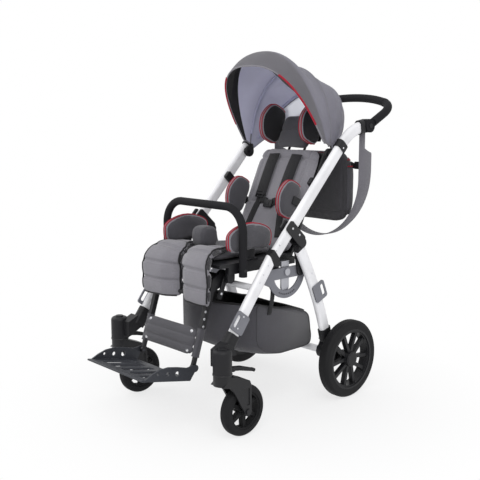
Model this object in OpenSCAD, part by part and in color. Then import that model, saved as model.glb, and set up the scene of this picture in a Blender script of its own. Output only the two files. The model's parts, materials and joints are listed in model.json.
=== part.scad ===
// Special needs buggy with tilting seat, legrest, hood, bag and basket.
// Lengths in millimetres. X is across the buggy, the front faces -Y, Z is up.
// Side-view points are [y, z] pairs, measured from the floor below the rear axle.

/* [Wheels] */
// Diameter of a rear wheel over its tyre
rear_wheel_d = 290; // [270:2:310]
// Width of a rear tyre
rear_tyre_w = 45; // [38:1:50]
// Middle of a rear wheel outside the middle of its side frame
wheel_side = 49; // [47:1:67]
// Diameter of a front wheel over its tyre
front_wheel_d = 173; // [160:1:186]
// Width of a front tyre
front_tyre_w = 39; // [32:1:42]
// Caster stem outside the middle of its side frame
stem_side = 45; // [43:1:62]
// Caster stems ahead of the rear axle
stem_ahead = 622; // [616:2:640]
// Front axle behind its caster stem
caster_trail = 86; // [80:1:92]

/* [Frame] */
// Distance between the middles of the side frames
frame_w = 476; // [470:2:484]
// Depth of a frame tube seen from the side
tube_depth = 44; // [38:1:48]
// Thickness of a frame tube across the buggy
tube_thick = 24; // [20:1:25]
// Fold hinge ahead of the rear axle
fold_ahead = 338; // [330:1:346]
// Height of the fold hinge
fold_h = 540; // [532:1:548]
// Length of a front leg
leg_len = 335; // [326:1:344]
// Straight length of a push tube
push_len = 505; // [500:1:520]
// Slope of the push handle
handle_slope = 27; // [20:1:34]
// Diameter of the handle grip
grip_d = 32; // [28:1:36]

/* [Seat] */
// Edge of the seat board inside the middle of the side frame
board_side = 52; // [50:1:58]
// Length of the seat board
board_len = 330; // [320:2:340]
// Slope of the backrest
back_slope = 65; // [62:1:70]
// Edge of the back cushion inside the edge of the seat board
back_side = 36; // [34:1:46]
// Height of the back cushion
back_h = 392; // [370:2:400]
// Height of the bumper bar above its pivot
bumper_h = 208; // [195:1:225]
// Diameter of the bumper bar
bumper_d = 28; // [24:1:30]
// Side of the hood inside the side frame
hood_side = 21; // [20:1:31]
// Legrest rail inside the edge of the seat board
rail_side = 48; // [46:1:56]
// Length of the footplate
foot_len = 198; // [180:2:210]

/* [Hidden] */
$fn = 48;
gap = 0.3;
snug = 0.15;
run_fit = 0.05;
over = 1;

function way(a) = [cos(a), sin(a)];
function side(a) = [sin(a), -cos(a)];
function at(p, a, l, s = 0) = p + l * way(a) + s * side(a);

// Places in the side view
rear_axle = [0, rear_wheel_d / 2];
stem_y = -stem_ahead;
frame_x = frame_w / 2;
stem_x = frame_x + stem_side;
wheel_x = frame_x + wheel_side;
front_axle = [stem_y + caster_trail, front_wheel_d / 2];
tube_in = frame_x - tube_thick / 2;
tube_out = frame_x + tube_thick / 2;
fold = [-fold_ahead, fold_h];
leg_slope = 52.75;
push_slope = 46.5;
leg_pin_up = 6;
leg_pin_back = 29.4;
leg_top = at(fold, leg_slope, -leg_pin_up, -leg_pin_back);
leg_low = at(leg_top, leg_slope, -leg_len);
tube_pin_up = 22.6;
tube_pin_back = 24.2;
push_low = at(fold, push_slope, tube_pin_up, -tube_pin_back);
push_turn = 38;
push_bend_r = 190;
bend_low = at(push_low, push_slope, push_len);
bend_mid = at(bend_low, push_slope, 0, push_bend_r);
bend_high = bend_mid - push_bend_r * side(push_slope - push_turn);
tail_slope = push_slope - push_turn;
hub_r = 25;
hub_clear = 2;
hub = at(bend_high, tail_slope, hub_r + hub_clear);

// Handle bow, seen square to its plane
handle_side = 12;
handle_x = frame_x + handle_side;
grip_r = grip_d / 2;
arm_len = 96;
bow_r = 110;
bow_turn = 62;
bow_wide_r = (handle_x - bow_r * (1 - cos(bow_turn))) / cos(bow_turn);
bow_reach = arm_len + bow_r * sin(bow_turn) + bow_wide_r * (1 - sin(bow_turn));
rear_end = hub[0] + bow_reach * cos(handle_slope) + grip_r;

// Seat places
tilt_pin = [-260, 498];
board_z = 540;
board_t = 12;
board_x = frame_x - board_side;
board_w = 2 * board_x;
board_front = -545;
board_top = board_z + board_t;
rail_w = 16;
rail_h = 25;
legrest_pin = [-490, 500];
recline_pin = [-195, 528];
bumper_pin = [-456, 527];

// Legrest places
legrest_slope = 251.9;
legrest_top = [-530, 500];
post_x = board_x - rail_side;
post_w = 16;
post_d = 18;
post_wall = 2;
post_len = 200;
foot_at = 301;
foot_pin = at(legrest_top, legrest_slope, foot_at);
foot_pitch = 168;
foot_drop = 37;
foot_lead = 24;
foot_rear = foot_pin - [foot_lead, foot_drop];
foot_t = 6;
foot_front = at(foot_rear, foot_pitch, foot_len, 0);
front_end = foot_front[0] + foot_t / 2 * sin(foot_pitch) - foot_t / 2;
mid_y = (front_end + rear_end) / 2;

// Colours
white_paint = [0.93, 0.93, 0.94];
black_part = [0.08, 0.08, 0.09];
grey_paint = [0.45, 0.45, 0.48];
grey_cloth = [0.52, 0.51, 0.54];
dark_cloth = [0.30, 0.30, 0.33];
steel = [0.70, 0.70, 0.73];

// Helpers
module both() {
  children();
  mirror([1, 0, 0]) children();
}

// Plate from an outline drawn in the side view
module plate(x0, x1) {
  translate([x0, 0, 0]) rotate([90, 0, 90]) linear_extrude(x1 - x0) children();
}

module rod(p, r, x0, x1) {
  plate(x0, x1) translate(p) circle(r);
}

// Local Z runs up the slope, local Y lies to its rear side
module up_slope(x, p, a) {
  translate([x, p[0], p[1]]) rotate([a - 90, 0, 0]) children();
}

module oval(depth, thick) {
  square([thick, depth - thick], center = true);
  for (s = [-1, 1]) translate([0, s * (depth - thick) / 2]) circle(d = thick);
}

module round_box(w, h, r) {
  square([w - 2 * r, h], center = true);
  square([w, h - 2 * r], center = true);
  for (s = [-1, 1], t = [-1, 1])
    translate([s * (w / 2 - r), t * (h / 2 - r)]) circle(r);
}

// Tube along straight pieces [length] and bends [radius, angle]
module tube_run(steps, i = 0) {
  if (i < len(steps)) {
    s = steps[i];
    if (len(s) == 1) {
      linear_extrude(s[0]) children();
      translate([0, 0, s[0]]) tube_run(steps, i + 1) children();
    } else {
      w = sign(s[1]);
      translate([0, w * s[0], 0]) {
        rotate([90, 0, -90 * w]) rotate_extrude(angle = abs(s[1]))
          translate([s[0], 0]) rotate(90) children();
        rotate([-s[1], 0, 0]) translate([0, -w * s[0], 0])
          tube_run(steps, i + 1) children();
      }
    }
  }
}

// Skin over a row of closed rings with equal numbers of points
module skin(rings) {
  n = len(rings[0]);
  m = len(rings);
  e = (m - 1) * n;
  walls = [for (i = [0:m - 2], j = [0:n - 1])
    let (a = i * n + j, b = i * n + (j + 1) % n) each [[a, b, b + n], [a, b + n, a + n]]];
  low = [for (j = [0:n / 2 - 2])
    each [[j, n - 2 - j, j + 1], [j, n - 1 - j, n - 2 - j]]];
  high = [for (j = [0:n / 2 - 2])
    each [[e + j, e + j + 1, e + n - 2 - j], [e + j, e + n - 2 - j, e + n - 1 - j]]];
  polyhedron([for (r = rings) each r], concat(walls, low, high));
}

function bulge(v, e) = sign(v) * pow(abs(v), e);

// Ring of a cushion: from lo to hi across, rising by top and sinking by low
function pad_ring(lo, hi, y, top, low, n, z = 0) = [for (k = [0:n - 1])
  let (a = 360 * (k + 0.5) / n, c = bulge(cos(a), 0.55), s = bulge(sin(a), 0.55))
  [(lo + hi) / 2 + (hi - lo) / 2 * c, y, z + (s > 0 ? s * top : s * low)]];

// Round-off of a cushion end, one in the middle and nearly nothing at its ends
function ease(t, e) = pow(max(0, 1 - pow(abs(t), e)), 1 / e);

// Cushion with drawn-in sides, a crown and cross channels
// size is [width, length, thickness], length runs along Y from zero
module cushion(size, crown, pull, chans, dip, m, n) {
  skin([for (i = [0:m])
    let (t = 2 * i / m - 1, te = 0.985 * t, w = size[0] / 2 * ease(te, 5) * (1 - pull * (1 - t * t)),
         g = chans > 0 ? dip * pow(abs(cos(180 * chans * i / m)), 6) : 0)
    pad_ring(-w, w, size[1] * i / m, (size[2] / 2 + crown * (1 - t * t) - g) * ease(te, 3),
      size[2] / 2 * ease(te, 3), n)]);
}

// D-shaped pad standing on its straight end: width along X, height along Y
module d_pad(w, h, t, m, n) {
  skin([for (i = [0:m])
    let (u = i / m, k = ease(0.985 * (2 * u - 1), 4), r = ease(0.97 * max(0, 2.2 * u - 1.2), 2))
    pad_ring(-w / 2 * k * r, w / 2 * k * r, h * u, t / 2 * ease(0.97 * (2 * u - 1), 4),
      t / 2 * ease(0.97 * (2 * u - 1), 4), n)]);
}

// Side frames
push_cut = 8;
module push_path(o) {
  up_slope(frame_x, push_low, push_slope) translate([0, 0, -tube_depth / 4])
    tube_run([[push_len + tube_depth / 4], [push_bend_r, push_turn]])
      oval(tube_depth + 2 * o, tube_thick + 2 * o);
}
module push_tube() {
  color(white_paint) difference() {
    push_path(0);
    up_slope(frame_x, push_low, push_slope) rotate([-push_cut, 0, 0])
      translate([-tube_thick, -tube_depth, -tube_depth])
        cube([2 * tube_thick, 2 * tube_depth, tube_depth]);
  }
}
module left_push_tube() push_tube();
module right_push_tube() mirror([1, 0, 0]) push_tube();

leg_cut = 26;
module front_leg() {
  color(white_paint) difference() {
    up_slope(frame_x, leg_low, leg_slope)
      linear_extrude(leg_len + tube_depth / 2) oval(tube_depth, tube_thick);
    up_slope(frame_x, leg_top, leg_slope) rotate([-leg_cut, 0, 0])
      translate([-tube_thick, -tube_depth, 0])
        cube([2 * tube_thick, 2 * tube_depth, tube_depth]);
  }
}
module front_legs() both() front_leg();

// Fold hinge: clevis on the leg, tongue on the push tube
hinge_r = 12;
hinge_pin_r = 5;
tongue_half = 6.5;
hinge_inset = 0.5;
hinge_half = tube_thick / 2 - hinge_inset;
split_turn = 0.6;
half_deep = tube_depth / 2;
leg_front = at(leg_top, leg_slope, half_deep * tan(leg_cut) + snug, -half_deep);
leg_back = at(leg_top, leg_slope, snug - half_deep * tan(leg_cut), half_deep);
push_front = at(push_low, push_slope, half_deep * tan(push_cut) - snug, -half_deep);
push_back = at(push_low, push_slope, -half_deep * tan(push_cut) - snug, half_deep);
split_mid = (leg_front + push_front) / 2 - fold;
split_slope = atan2(split_mid[1], split_mid[0]);
split_len = norm(split_mid);

module fold_clevis() {
  color(black_part) difference() {
    union() {
      plate(frame_x - hinge_half, frame_x + hinge_half) {
        polygon([leg_front, at(fold, split_slope + split_turn, split_len), fold, leg_back]);
        translate(fold) circle(hinge_r);
      }
    }
    plate(frame_x - tongue_half - gap, frame_x + tongue_half + gap)
      translate(fold) circle(hinge_r + gap);
  }
  color(black_part) rod(fold, hinge_pin_r, frame_x - hinge_half, frame_x + hinge_half);
}
module fold_clevises() both() fold_clevis();

module fold_tongue() {
  color(black_part) difference() {
    plate(frame_x - hinge_half, frame_x + hinge_half) {
      polygon([push_front, push_back, fold, at(fold, split_slope - split_turn, split_len)]);
      translate(fold) circle(hinge_r);
    }
    for (s = [-1, 1]) translate([s * (tongue_half + hinge_half + gap), 0, 0])
      plate(frame_x - hinge_half, frame_x + hinge_half) translate(fold) circle(hinge_r + gap);
    rod(fold, hinge_pin_r + run_fit, tube_in - over, tube_out + over);
  }
}
module fold_tongues() both() fold_tongue();

// Bracket that carries the rear leg and the tilt plate
bracket_at = 106;
bracket_w = 42;
bracket_front = 30;
bracket_t = 5;
knuckle_up = 104;
knuckle_back = 70.6;
knuckle_r = 17;
knuckle_pin_r = 6;
knuckle = at(push_low, push_slope, knuckle_up, knuckle_back);
tilt_plate_t = 6;
arm_t = 6.4;
arm_out = tube_in - gap;
arm_in = arm_out - arm_t;
tilt_plate_in = arm_in - gap - tilt_plate_t;
arm_foot_back = 65;
arm_foot_drop = 6;
arm_foot = tilt_pin + [arm_foot_back, -arm_foot_drop];
arm_r = 15;
bracket_out = tube_out + gap;

module bracket_outline() {
  c = at(push_low, push_slope, bracket_at, (knuckle_back - bracket_front) / 2);
  translate(c) rotate(push_slope - 90)
    round_box(knuckle_back + bracket_front, bracket_w, bracket_w / 4);
  translate(knuckle) circle(knuckle_r);
}
module leg_bracket() {
  lean = atan2(arm_foot[1] - knuckle[1], arm_foot[0] - knuckle[0]);
  color(black_part) {
    plate(bracket_out, bracket_out + bracket_t) bracket_outline();
    plate(arm_in, arm_out) {
      bracket_outline();
      translate(arm_foot) circle(arm_r);
      polygon([at(knuckle, lean, 0, arm_r), at(arm_foot, lean, 0, arm_r),
        at(arm_foot, lean, 0, -arm_r), at(knuckle, lean, 0, -arm_r)]);
    }
    rod(knuckle, knuckle_pin_r, arm_in, bracket_out + bracket_t);
  }
}
module leg_brackets() both() leg_bracket();

// Tilt plate: half disc with window and a row of lock holes
tilt_r = 93;
tilt_top = 17;
tilt_band = 22;
window_r = 66;
lock_row_r = 79;
lock_hole_r = 3.2;
shaft_r = 10;
tail_len = 36;
module tilt_plate() {
  color(grey_paint) difference() {
    plate(tilt_plate_in, tilt_plate_in + tilt_plate_t) difference() {
      union() {
        intersection() {
          translate(tilt_pin) circle(tilt_r);
          translate(tilt_pin + [-tilt_r, tilt_top - 2 * tilt_r]) square(2 * tilt_r);
        }
        polygon([tilt_pin + [-tilt_r, tilt_top], tilt_pin + [-tilt_r - tail_len, -tilt_band],
          tilt_pin + [-tilt_r + tilt_top, -tilt_r / 2]]);
        polygon([tilt_pin + [-tilt_r, tilt_top], tilt_pin + [-tilt_r, -tilt_top],
          tilt_pin + [0, tilt_top]]);
      }
      intersection() {
        translate(tilt_pin) circle(window_r);
        translate(tilt_pin + [-tilt_r, -tilt_band - 2 * tilt_r]) square(2 * tilt_r);
      }
      for (i = [-4:4]) translate(at(tilt_pin, 270 + 7 * i, lock_row_r)) circle(lock_hole_r);
      translate(tilt_pin) circle(shaft_r + run_fit);
    }
  }
}
module tilt_plates() both() tilt_plate();

shaft_head_r = 13;
shaft_head_t = 4;
module tilt_shaft() {
  color(steel) {
    rod(tilt_pin, shaft_r, -arm_in, arm_in);
    both() rod(tilt_pin, shaft_head_r, arm_in, arm_in + shaft_head_t);
  }
}

// Clamps on the push tubes: hood pivots, hood clamps and backrest anchors
hood_down = 57;
hood_at = push_len - hood_down;
clamp_down = 18;
clamp_at = push_len - clamp_down;
clamp_len = 30;
clamp_wall = 5;
anchor_at = 308;
anchor_w = 30;
anchor_h = 46;
anchor_t = 14;
hood_pin = at(push_low, push_slope, hood_at);
hood_boss_r = 14;
hood_pin_r = 6;
hood_x = tube_in - hood_side;
eye_t = 4;
module tube_clamp() {
  color(black_part) {
    rod(hood_pin, hood_boss_r, hood_x + 2 * eye_t, tube_in - gap);
    rod(hood_pin, hood_pin_r, hood_x - 2 * eye_t, hood_x + 2 * eye_t);
    up_slope(frame_x, at(push_low, push_slope, clamp_at - clamp_len / 2), push_slope)
      linear_extrude(clamp_len) difference() {
        oval(tube_depth + 2 * clamp_wall, tube_thick + 2 * clamp_wall);
        oval(tube_depth + 2 * snug, tube_thick + 2 * snug);
      }
    plate(tube_in - gap - anchor_t, tube_in - gap)
      translate(at(push_low, push_slope, anchor_at)) rotate(push_slope - 90)
        round_box(anchor_h, anchor_w, anchor_w / 6);
  }
}
module tube_clamps() both() tube_clamp();

// Hood: arched shells around the hood pins, radius by angle from the rear
hood_t = 4;
hood_start = 18;
hood_eye_r = 22;
hood_reach = 345;
rear_turns = [8, 20, 33, 44, 56, 64, 74, 87];
rear_shares = [0.975, 0.99, 1, 0.99, 0.925, 0.925, 0.94, 0.985];
front_turns = [88.2, 97, 107, 115, 121.5];
front_shares = [1.03, 1.09, 1.125, 1.1, 1.04];
arch_n = 10;
function arch(a, r, w) = [for (k = [-arch_n:arch_n])
  let (t = 90 * k / arch_n, d = hood_start + (r - hood_start) * pow(max(0, cos(t)), 0.6))
  [w * bulge(sin(t), 0.6), hood_pin[0] + d * cos(a), hood_pin[1] + d * sin(a)]];
function hood_ring(a, r, w) = concat(arch(a, r, w),
  [for (k = [2 * arch_n:-1:0]) arch(a, r - hood_t, w - hood_t)[k]]);
eye_out = 1;
module hood_eye(x) {
  both() difference() {
    rod(hood_pin, hood_eye_r, x - hood_t + eye_out / 2, x + eye_out);
    rod(hood_pin, hood_pin_r + run_fit, x - hood_x, x + hood_x);
  }
}
front_hood_x = hood_x + hood_t + eye_out + gap;
module hood_rear() {
  color(grey_cloth) {
    skin([for (i = [0:len(rear_turns) - 1])
      hood_ring(rear_turns[i], hood_reach * rear_shares[i], hood_x)]);
    hood_eye(hood_x);
  }
}
module hood_front() {
  color(grey_cloth) {
    skin([for (i = [0:len(front_turns) - 1])
      hood_ring(front_turns[i], hood_reach * front_shares[i], front_hood_x)]);
    hood_eye(front_hood_x);
  }
}

// Handle hubs, handle and buttons
hub_inside = 16;
hub_split = 3;
hub_outside = 21;
hub_in = frame_x - hub_inside;
hub_mid = frame_x + hub_split;
hub_out = frame_x + hub_outside;
hub_pin_r = 6;
hub_sleeve = 22;
button_r = 9;
button_deep = 5;
button_proud = 2;
well_deep = 9;
button_in = hub_out - button_deep;
button_out = hub_out + button_proud;
button_well = hub_out - well_deep;
module handle_hub() {
  color(black_part) {
    difference() {
      union() {
        rod(hub, hub_r, hub_in, hub_mid);
        up_slope(frame_x, at(hub, tail_slope, -hub_r - over - hub_sleeve), tail_slope)
          linear_extrude(hub_sleeve) oval(tube_depth + 2 * clamp_wall, tube_thick + 2 * clamp_wall);
        plate(hub_in, hub_mid) polygon([at(hub, tail_slope, 0, hub_r), at(hub, tail_slope, 0, -hub_r),
          at(hub, tail_slope, -hub_r - hub_sleeve / 2, -hub_r + over),
          at(hub, tail_slope, -hub_r - hub_sleeve / 2, hub_r - over)]);
      }
      push_path(snug);
      rod(hub, hub_pin_r + run_fit, hub_in - over, hub_mid + over);
    }
  }
}
module handle_hubs() both() handle_hub();

arm_start = hub_r + hub_clear;
ring_out = 0.9;
ring_w = 14;
module push_handle() {
  color(black_part) {
    both() difference() {
      union() {
        rod(hub, hub_r, hub_mid + gap, hub_out);
        rod(hub, hub_pin_r, hub_in, hub_mid + over);
        plate(hub_mid + gap, hub_out) {
          w = grip_r * 0.8;
          polygon([at(hub, handle_slope, 0, w), at(hub, handle_slope, 0, -w),
            at(hub, handle_slope, arm_len / 2, -w), at(hub, handle_slope, arm_len / 2, w)]);
        }
      }
      rod(hub, button_r + run_fit, button_well, hub_out + over);
    }
    both() up_slope(handle_x, at(hub, handle_slope, arm_start), handle_slope) rotate([0, 0, 90])
      tube_run([[arm_len - arm_start], [bow_r, bow_turn]]) circle(grip_r);
    up_slope(0, at(hub, handle_slope, bow_reach - bow_wide_r), handle_slope) {
      rotate([90, 0, 0]) rotate([0, 0, bow_turn]) rotate_extrude(angle = 180 - 2 * bow_turn)
        translate([bow_wide_r, 0]) circle(grip_r);
      for (s = [-1, 1]) rotate([0, s * (90 - bow_turn), 0]) translate([0, 0, bow_wide_r])
        rotate([0, 90, 0]) cylinder(r = grip_r + ring_out, h = ring_w, center = true);
    }
  }
}
module left_handle_button() {
  color(grey_paint) rod(hub, button_r, button_in, button_out);
}
module right_handle_button() mirror([1, 0, 0]) left_handle_button();

// Bag, its strap and the basket
bag_side = 82;
bag_half = hub_in - bag_side;
bag_lead = 30;
bag_deep = 66;
bag_belly = 14;
bag_drop = 120;
bag_h = 212;
bag_front = hub[0] - bag_lead;
bag_high = hub[1] - bag_drop;
bag_low = bag_high - bag_h;
tab_down = 18;
tab_h = 24;
strap_t = 3;
strap_w = 34;
strap_x = hub_in - gap - strap_t / 2;
strap_top = hub[1] + hub_r / 2;
strap_drop = 190;
strap_sag = 226;
strap_steps = 24;
module bag() {
  thick = bag_deep - bag_belly;
  color(dark_cloth) {
    translate([0, bag_front + thick / 2, bag_low]) rotate([90, 0, 0]) mirror([0, 0, 1])
      cushion([2 * bag_half, bag_h, thick], bag_belly, 0.02, 0, 0, 10, 16);
    both() translate([bag_half - strap_w, bag_front + bag_deep / 2, bag_high - tab_down - tab_h])
      cube([strap_x - strap_t / 2 - gap - bag_half + strap_w, strap_w / 2, tab_h]);
  }
}
function strap_line(o) = concat([[strap_x + o, 0]], [for (i = [0:strap_steps])
  let (a = 180 * i / strap_steps) [(strap_x + o) * cos(a), -strap_drop - (strap_sag + o) * sin(a)]],
  [[-strap_x - o, 0]]);
module bag_strap() {
  outer = strap_line(strap_t / 2);
  inner = strap_line(-strap_t / 2);
  color(dark_cloth) translate([0, hub[0] + strap_w / 2, strap_top]) rotate([90, 0, 0])
    linear_extrude(strap_w) polygon(concat(outer, [for (i = [len(inner) - 1:-1:0]) inner[i]]));
}

basket_side = 18;
basket_half = tilt_plate_in - basket_side;
basket_t = 4;
basket_front = -471;
basket_rear = -85;
basket_len = basket_rear - basket_front;
basket_h = 222;
basket_low = 192;
basket_shares = [[0, 0.95], [0.21, 1], [0.52, 0.92], [0.69, 0.75], [0.955, 0.6],
  [1, 0.06], [0.79, 0], [0.31, 0.03], [0, 0.28]];
function basket_outline(inset) = [for (s = basket_shares)
  [basket_front + inset + (basket_len - 2 * inset) * s[0], basket_low + inset + basket_h * s[1]]];
hang_y = -330;
hang_w = 18;
hang_z = 388;
hang_h = 54;
module basket() {
  color(dark_cloth) {
    difference() {
      plate(-basket_half, basket_half) polygon(basket_outline(0));
      plate(basket_t - basket_half, basket_half - basket_t) polygon(basket_outline(basket_t));
    }
    both() translate([basket_half - basket_t, hang_y, hang_z])
      cube([tilt_plate_in - gap - basket_half + basket_t, hang_w, hang_h]);
  }
}

// Caster housing with the socket for the front leg
crown_lift = 18;
crown_h = 36.5;
crown_r = 30;
crown_z = front_wheel_d + crown_lift;
house_z = crown_z + crown_h + gap;
house_r = 31;
house_h = 68;
house_edge = 12;
cap_r = 14;
cap_h = 4;
stem_r = 9;
stem_h = 66;
socket_len = 66;
socket_low = 12;
socket_wall = 5;
lever_back = 40;
lever_up = 8;
lever_pin = [stem_y + lever_back, house_z + lever_up];
lever_pin_r = 3;
lever_r = 7.5;
lever_w = 14;
lug_t = 5.5;
module caster_housing() {
  corner = half_deep + socket_wall;
  low = at(leg_low, leg_slope, -socket_low);
  color(black_part) difference() {
    union() {
      translate([stem_x, stem_y, house_z]) {
        cylinder(r = house_r, h = house_h);
        rotate_extrude() {
          translate([house_r - house_edge, house_h]) intersection() {
            circle(house_edge);
            square(house_edge);
          }
          translate([0, house_h - over]) square([house_r - house_edge, house_edge + over]);
        }
        translate([0, 0, house_h + house_edge]) cylinder(r = cap_r, h = cap_h);
      }
      up_slope(frame_x, low, leg_slope) linear_extrude(socket_len)
        oval(tube_depth + 2 * socket_wall, tube_thick + 2 * socket_wall);
      plate(tube_in, stem_x - house_r / 2) polygon([[stem_y, house_z + house_edge],
        [stem_y, house_z + house_h], at(low, leg_slope, corner, -corner),
        at(low, leg_slope, corner, 0), at(low, leg_slope, socket_low, corner),
        at(low, leg_slope, 0, corner / 2)]);
      for (s = [-1, 1]) translate([s * (lever_w / 2 + gap + lug_t / 2), 0, 0])
        plate(stem_x - lug_t / 2, stem_x + lug_t / 2) {
          translate(lever_pin) circle(lever_r);
          translate([lever_pin[0] - 2 * lever_r, lever_pin[1] - lever_r]) square([2 * lever_r, 2 * lever_r]);
        }
      rod(lever_pin, lever_pin_r, stem_x - lever_w / 2 - over, stem_x + lever_w / 2 + over);
    }
    up_slope(frame_x, at(leg_low, leg_slope, -gap), leg_slope) linear_extrude(leg_len)
      oval(tube_depth + 2 * snug, tube_thick + 2 * snug);
    translate([stem_x, stem_y, house_z - over]) cylinder(r = stem_r + run_fit, h = stem_h + 2 * over);
  }
}
module left_caster_housing() caster_housing();
module right_caster_housing() mirror([1, 0, 0]) caster_housing();

lever_len = 100;
lever_fall = 30;
lever_tip = 12;
lever_end = lever_pin + [lever_len - lever_tip / 2, lever_tip / 2 - lever_fall];
module lock_lever() {
  color(black_part) difference() {
    plate(stem_x - lever_w / 2, stem_x + lever_w / 2) {
      translate(lever_pin) circle(lever_r);
      polygon([lever_pin + [-over, over - lever_r], lever_pin + [0.3 * lever_len, -lever_tip],
        lever_end + [over, over - lever_tip / 2], lever_end + [over, lever_tip / 2 - over],
        lever_pin + [0.4 * lever_len, 0], lever_pin + [-over, lever_r - over]]);
      translate(lever_end) circle(lever_tip / 2);
    }
    rod(lever_pin, lever_pin_r + run_fit, stem_x - lever_w, stem_x + lever_w);
  }
}
module left_lock_lever() lock_lever();
module right_lock_lever() mirror([1, 0, 0]) lock_lever();

// Caster fork with stem and axle bolt
fork_clear = 2;
fork_in = front_tyre_w / 2 + fork_clear;
fork_t = 8.5;
fork_out = fork_in + fork_t;
fork_end_r = 15;
fork_bolt_r = 6;
fork_head_r = 10;
fork_head_t = 4;
fork_rib = 2.5;
bridge_low = 10;
module caster_fork() {
  color(black_part) {
    translate([stem_x, stem_y, crown_z]) {
      cylinder(r = crown_r, h = crown_h);
      cylinder(r = stem_r, h = crown_h + stem_h);
    }
    plate(stem_x - fork_out, stem_x + fork_out) polygon([[stem_y, crown_z],
      [stem_y, crown_z + 0.8 * crown_h], [stem_y + crown_r, crown_z + 0.7 * crown_h],
      [front_axle[0] + fork_end_r / 2, crown_z], [front_axle[0] + fork_end_r / 2, crown_z - bridge_low],
      [front_axle[0] - 2 * fork_end_r, crown_z - bridge_low]]);
    for (s = [-1, 1]) translate([s * (fork_in + fork_t / 2), 0, 0]) {
      plate(stem_x - fork_t / 2, stem_x + fork_t / 2) difference() {
        fork_outline();
        fork_hollow();
      }
      plate(stem_x - fork_t / 2 + fork_rib, stem_x + fork_t / 2 - fork_rib) fork_outline();
    }
    rod(front_axle, fork_bolt_r, stem_x - fork_out, stem_x + fork_out);
    rod(front_axle, fork_head_r, stem_x + fork_out, stem_x + fork_out + fork_head_t);
    rod(front_axle, fork_head_r, stem_x - fork_out - fork_head_t, stem_x - fork_out);
  }
}
module fork_outline() {
  translate(front_axle) circle(fork_end_r);
  polygon([[stem_y - 0.8 * crown_r, crown_z], [stem_y, crown_z + crown_h / 2],
    [stem_y + crown_r, crown_z + 0.6 * crown_h], [front_axle[0] + fork_end_r / 2, crown_z],
    [front_axle[0] + fork_end_r, crown_z - crown_h / 2], [front_axle[0] + fork_end_r, front_axle[1]],
    [front_axle[0] - fork_end_r, front_axle[1]], [stem_y + 0.9 * crown_r, crown_z - 0.8 * crown_h],
    [stem_y + 0.3 * crown_r, crown_z - 0.2 * crown_h]]);
}
module fork_hollow() {
  polygon([[front_axle[0] - 0.4 * fork_end_r, front_axle[1] + 1.5 * fork_end_r],
    [front_axle[0] + 0.4 * fork_end_r, front_axle[1] + 1.5 * fork_end_r],
    [front_axle[0] + 0.4 * fork_end_r, crown_z - 0.7 * crown_h],
    [stem_y + 1.6 * crown_r, crown_z - 0.5 * crown_h]]);
}
module left_caster_fork() caster_fork();
module right_caster_fork() mirror([1, 0, 0]) caster_fork();

// Front wheel
module tyre_outline(r, w, shoulder, depth) {
  translate([r - depth, -w / 2]) square([depth - shoulder, w]);
  translate([r - depth, shoulder - w / 2]) square([depth, w - 2 * shoulder]);
  for (s = [-1, 1]) translate([r - shoulder, s * (w / 2 - shoulder)]) circle(shoulder);
}
front_spokes = 6;
module front_wheel() {
  r = front_wheel_d / 2;
  w = front_tyre_w;
  color(black_part) translate([stem_x, front_axle[0], front_axle[1]]) rotate([0, 90, 0]) {
    rotate_extrude() {
      tyre_outline(r, w, 0.36 * w, 0.26 * r);
      translate([0.66 * r, -0.4 * w]) square([0.1 * r, 0.8 * w]);
      translate([fork_bolt_r + run_fit, -w / 2]) square([0.2 * r - fork_bolt_r, w]);
    }
    for (i = [1:front_spokes]) rotate(360 * i / front_spokes) linear_extrude(0.5 * w, center = true)
      polygon([[0.15 * r, -0.09 * r], [0.15 * r, 0.09 * r], [0.7 * r, 0.06 * r], [0.7 * r, -0.06 * r]]);
  }
}
module left_front_wheel() front_wheel();
module right_front_wheel() mirror([1, 0, 0]) front_wheel();

cross_r = 11;
cross_share = 0.32;
front_cross = at(leg_top, leg_slope, -cross_share * leg_len);
module front_cross_tube() {
  color(white_paint) rod(front_cross, cross_r, gap - tube_in, tube_in - gap);
}

// Tie-down loops: plates with a slot for the hook
loop_len = 68;
loop_w = 62;
loop_r = 9;
loop_t = 5;
slot_len = 44;
slot_w = 17;
slot_in = 7;
module loop_plate(p, a, s) {
  color(grey_paint) plate(bracket_out, bracket_out + loop_t) translate(p) rotate(a - 90)
    translate([s * (loop_w / 2 - tube_depth / 2), 0]) difference() {
      round_box(loop_w, loop_len, loop_r);
      translate([s * (loop_w / 2 - slot_in - slot_w / 2), 0]) round_box(slot_w, slot_len, slot_w / 2.5);
    }
}
front_loop_at = 78;
front_loop = at(leg_low, leg_slope, front_loop_at + loop_len / 4);
module front_tie_loops() both() loop_plate(front_loop, leg_slope, -1);

// Rear leg, a long bend from foot to knuckle
rear_leg_r = 1350;
rear_leg_turn = 16;
rear_leg_slope = 105.2;
leg_drop = 20;
leg_shift = 12;
leg_end = at(knuckle, rear_leg_slope + rear_leg_turn, -leg_drop, -leg_shift);
rear_leg_mid = at(leg_end, rear_leg_slope + rear_leg_turn, 0, -rear_leg_r);
leg_foot = at(rear_leg_mid, rear_leg_slope, 0, rear_leg_r);
module rear_leg() {
  color(white_paint) up_slope(frame_x, leg_foot, rear_leg_slope)
    tube_run([[rear_leg_r, -rear_leg_turn]]) oval(tube_depth, tube_thick);
}
module rear_legs() both() rear_leg();

module rear_knuckle() {
  a = rear_leg_slope + rear_leg_turn;
  color(black_part) difference() {
    plate(tube_in + gap, tube_out - gap) {
      translate(knuckle) circle(knuckle_r - over);
      polygon([at(knuckle, a, 0, -knuckle_r + over), at(knuckle, a, 0, knuckle_r - over),
        at(leg_end, a, snug, half_deep), at(leg_end, a, snug, -half_deep)]);
    }
    rod(knuckle, knuckle_pin_r + run_fit, tube_in, tube_out);
  }
}
module rear_knuckles() both() rear_knuckle();

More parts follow.
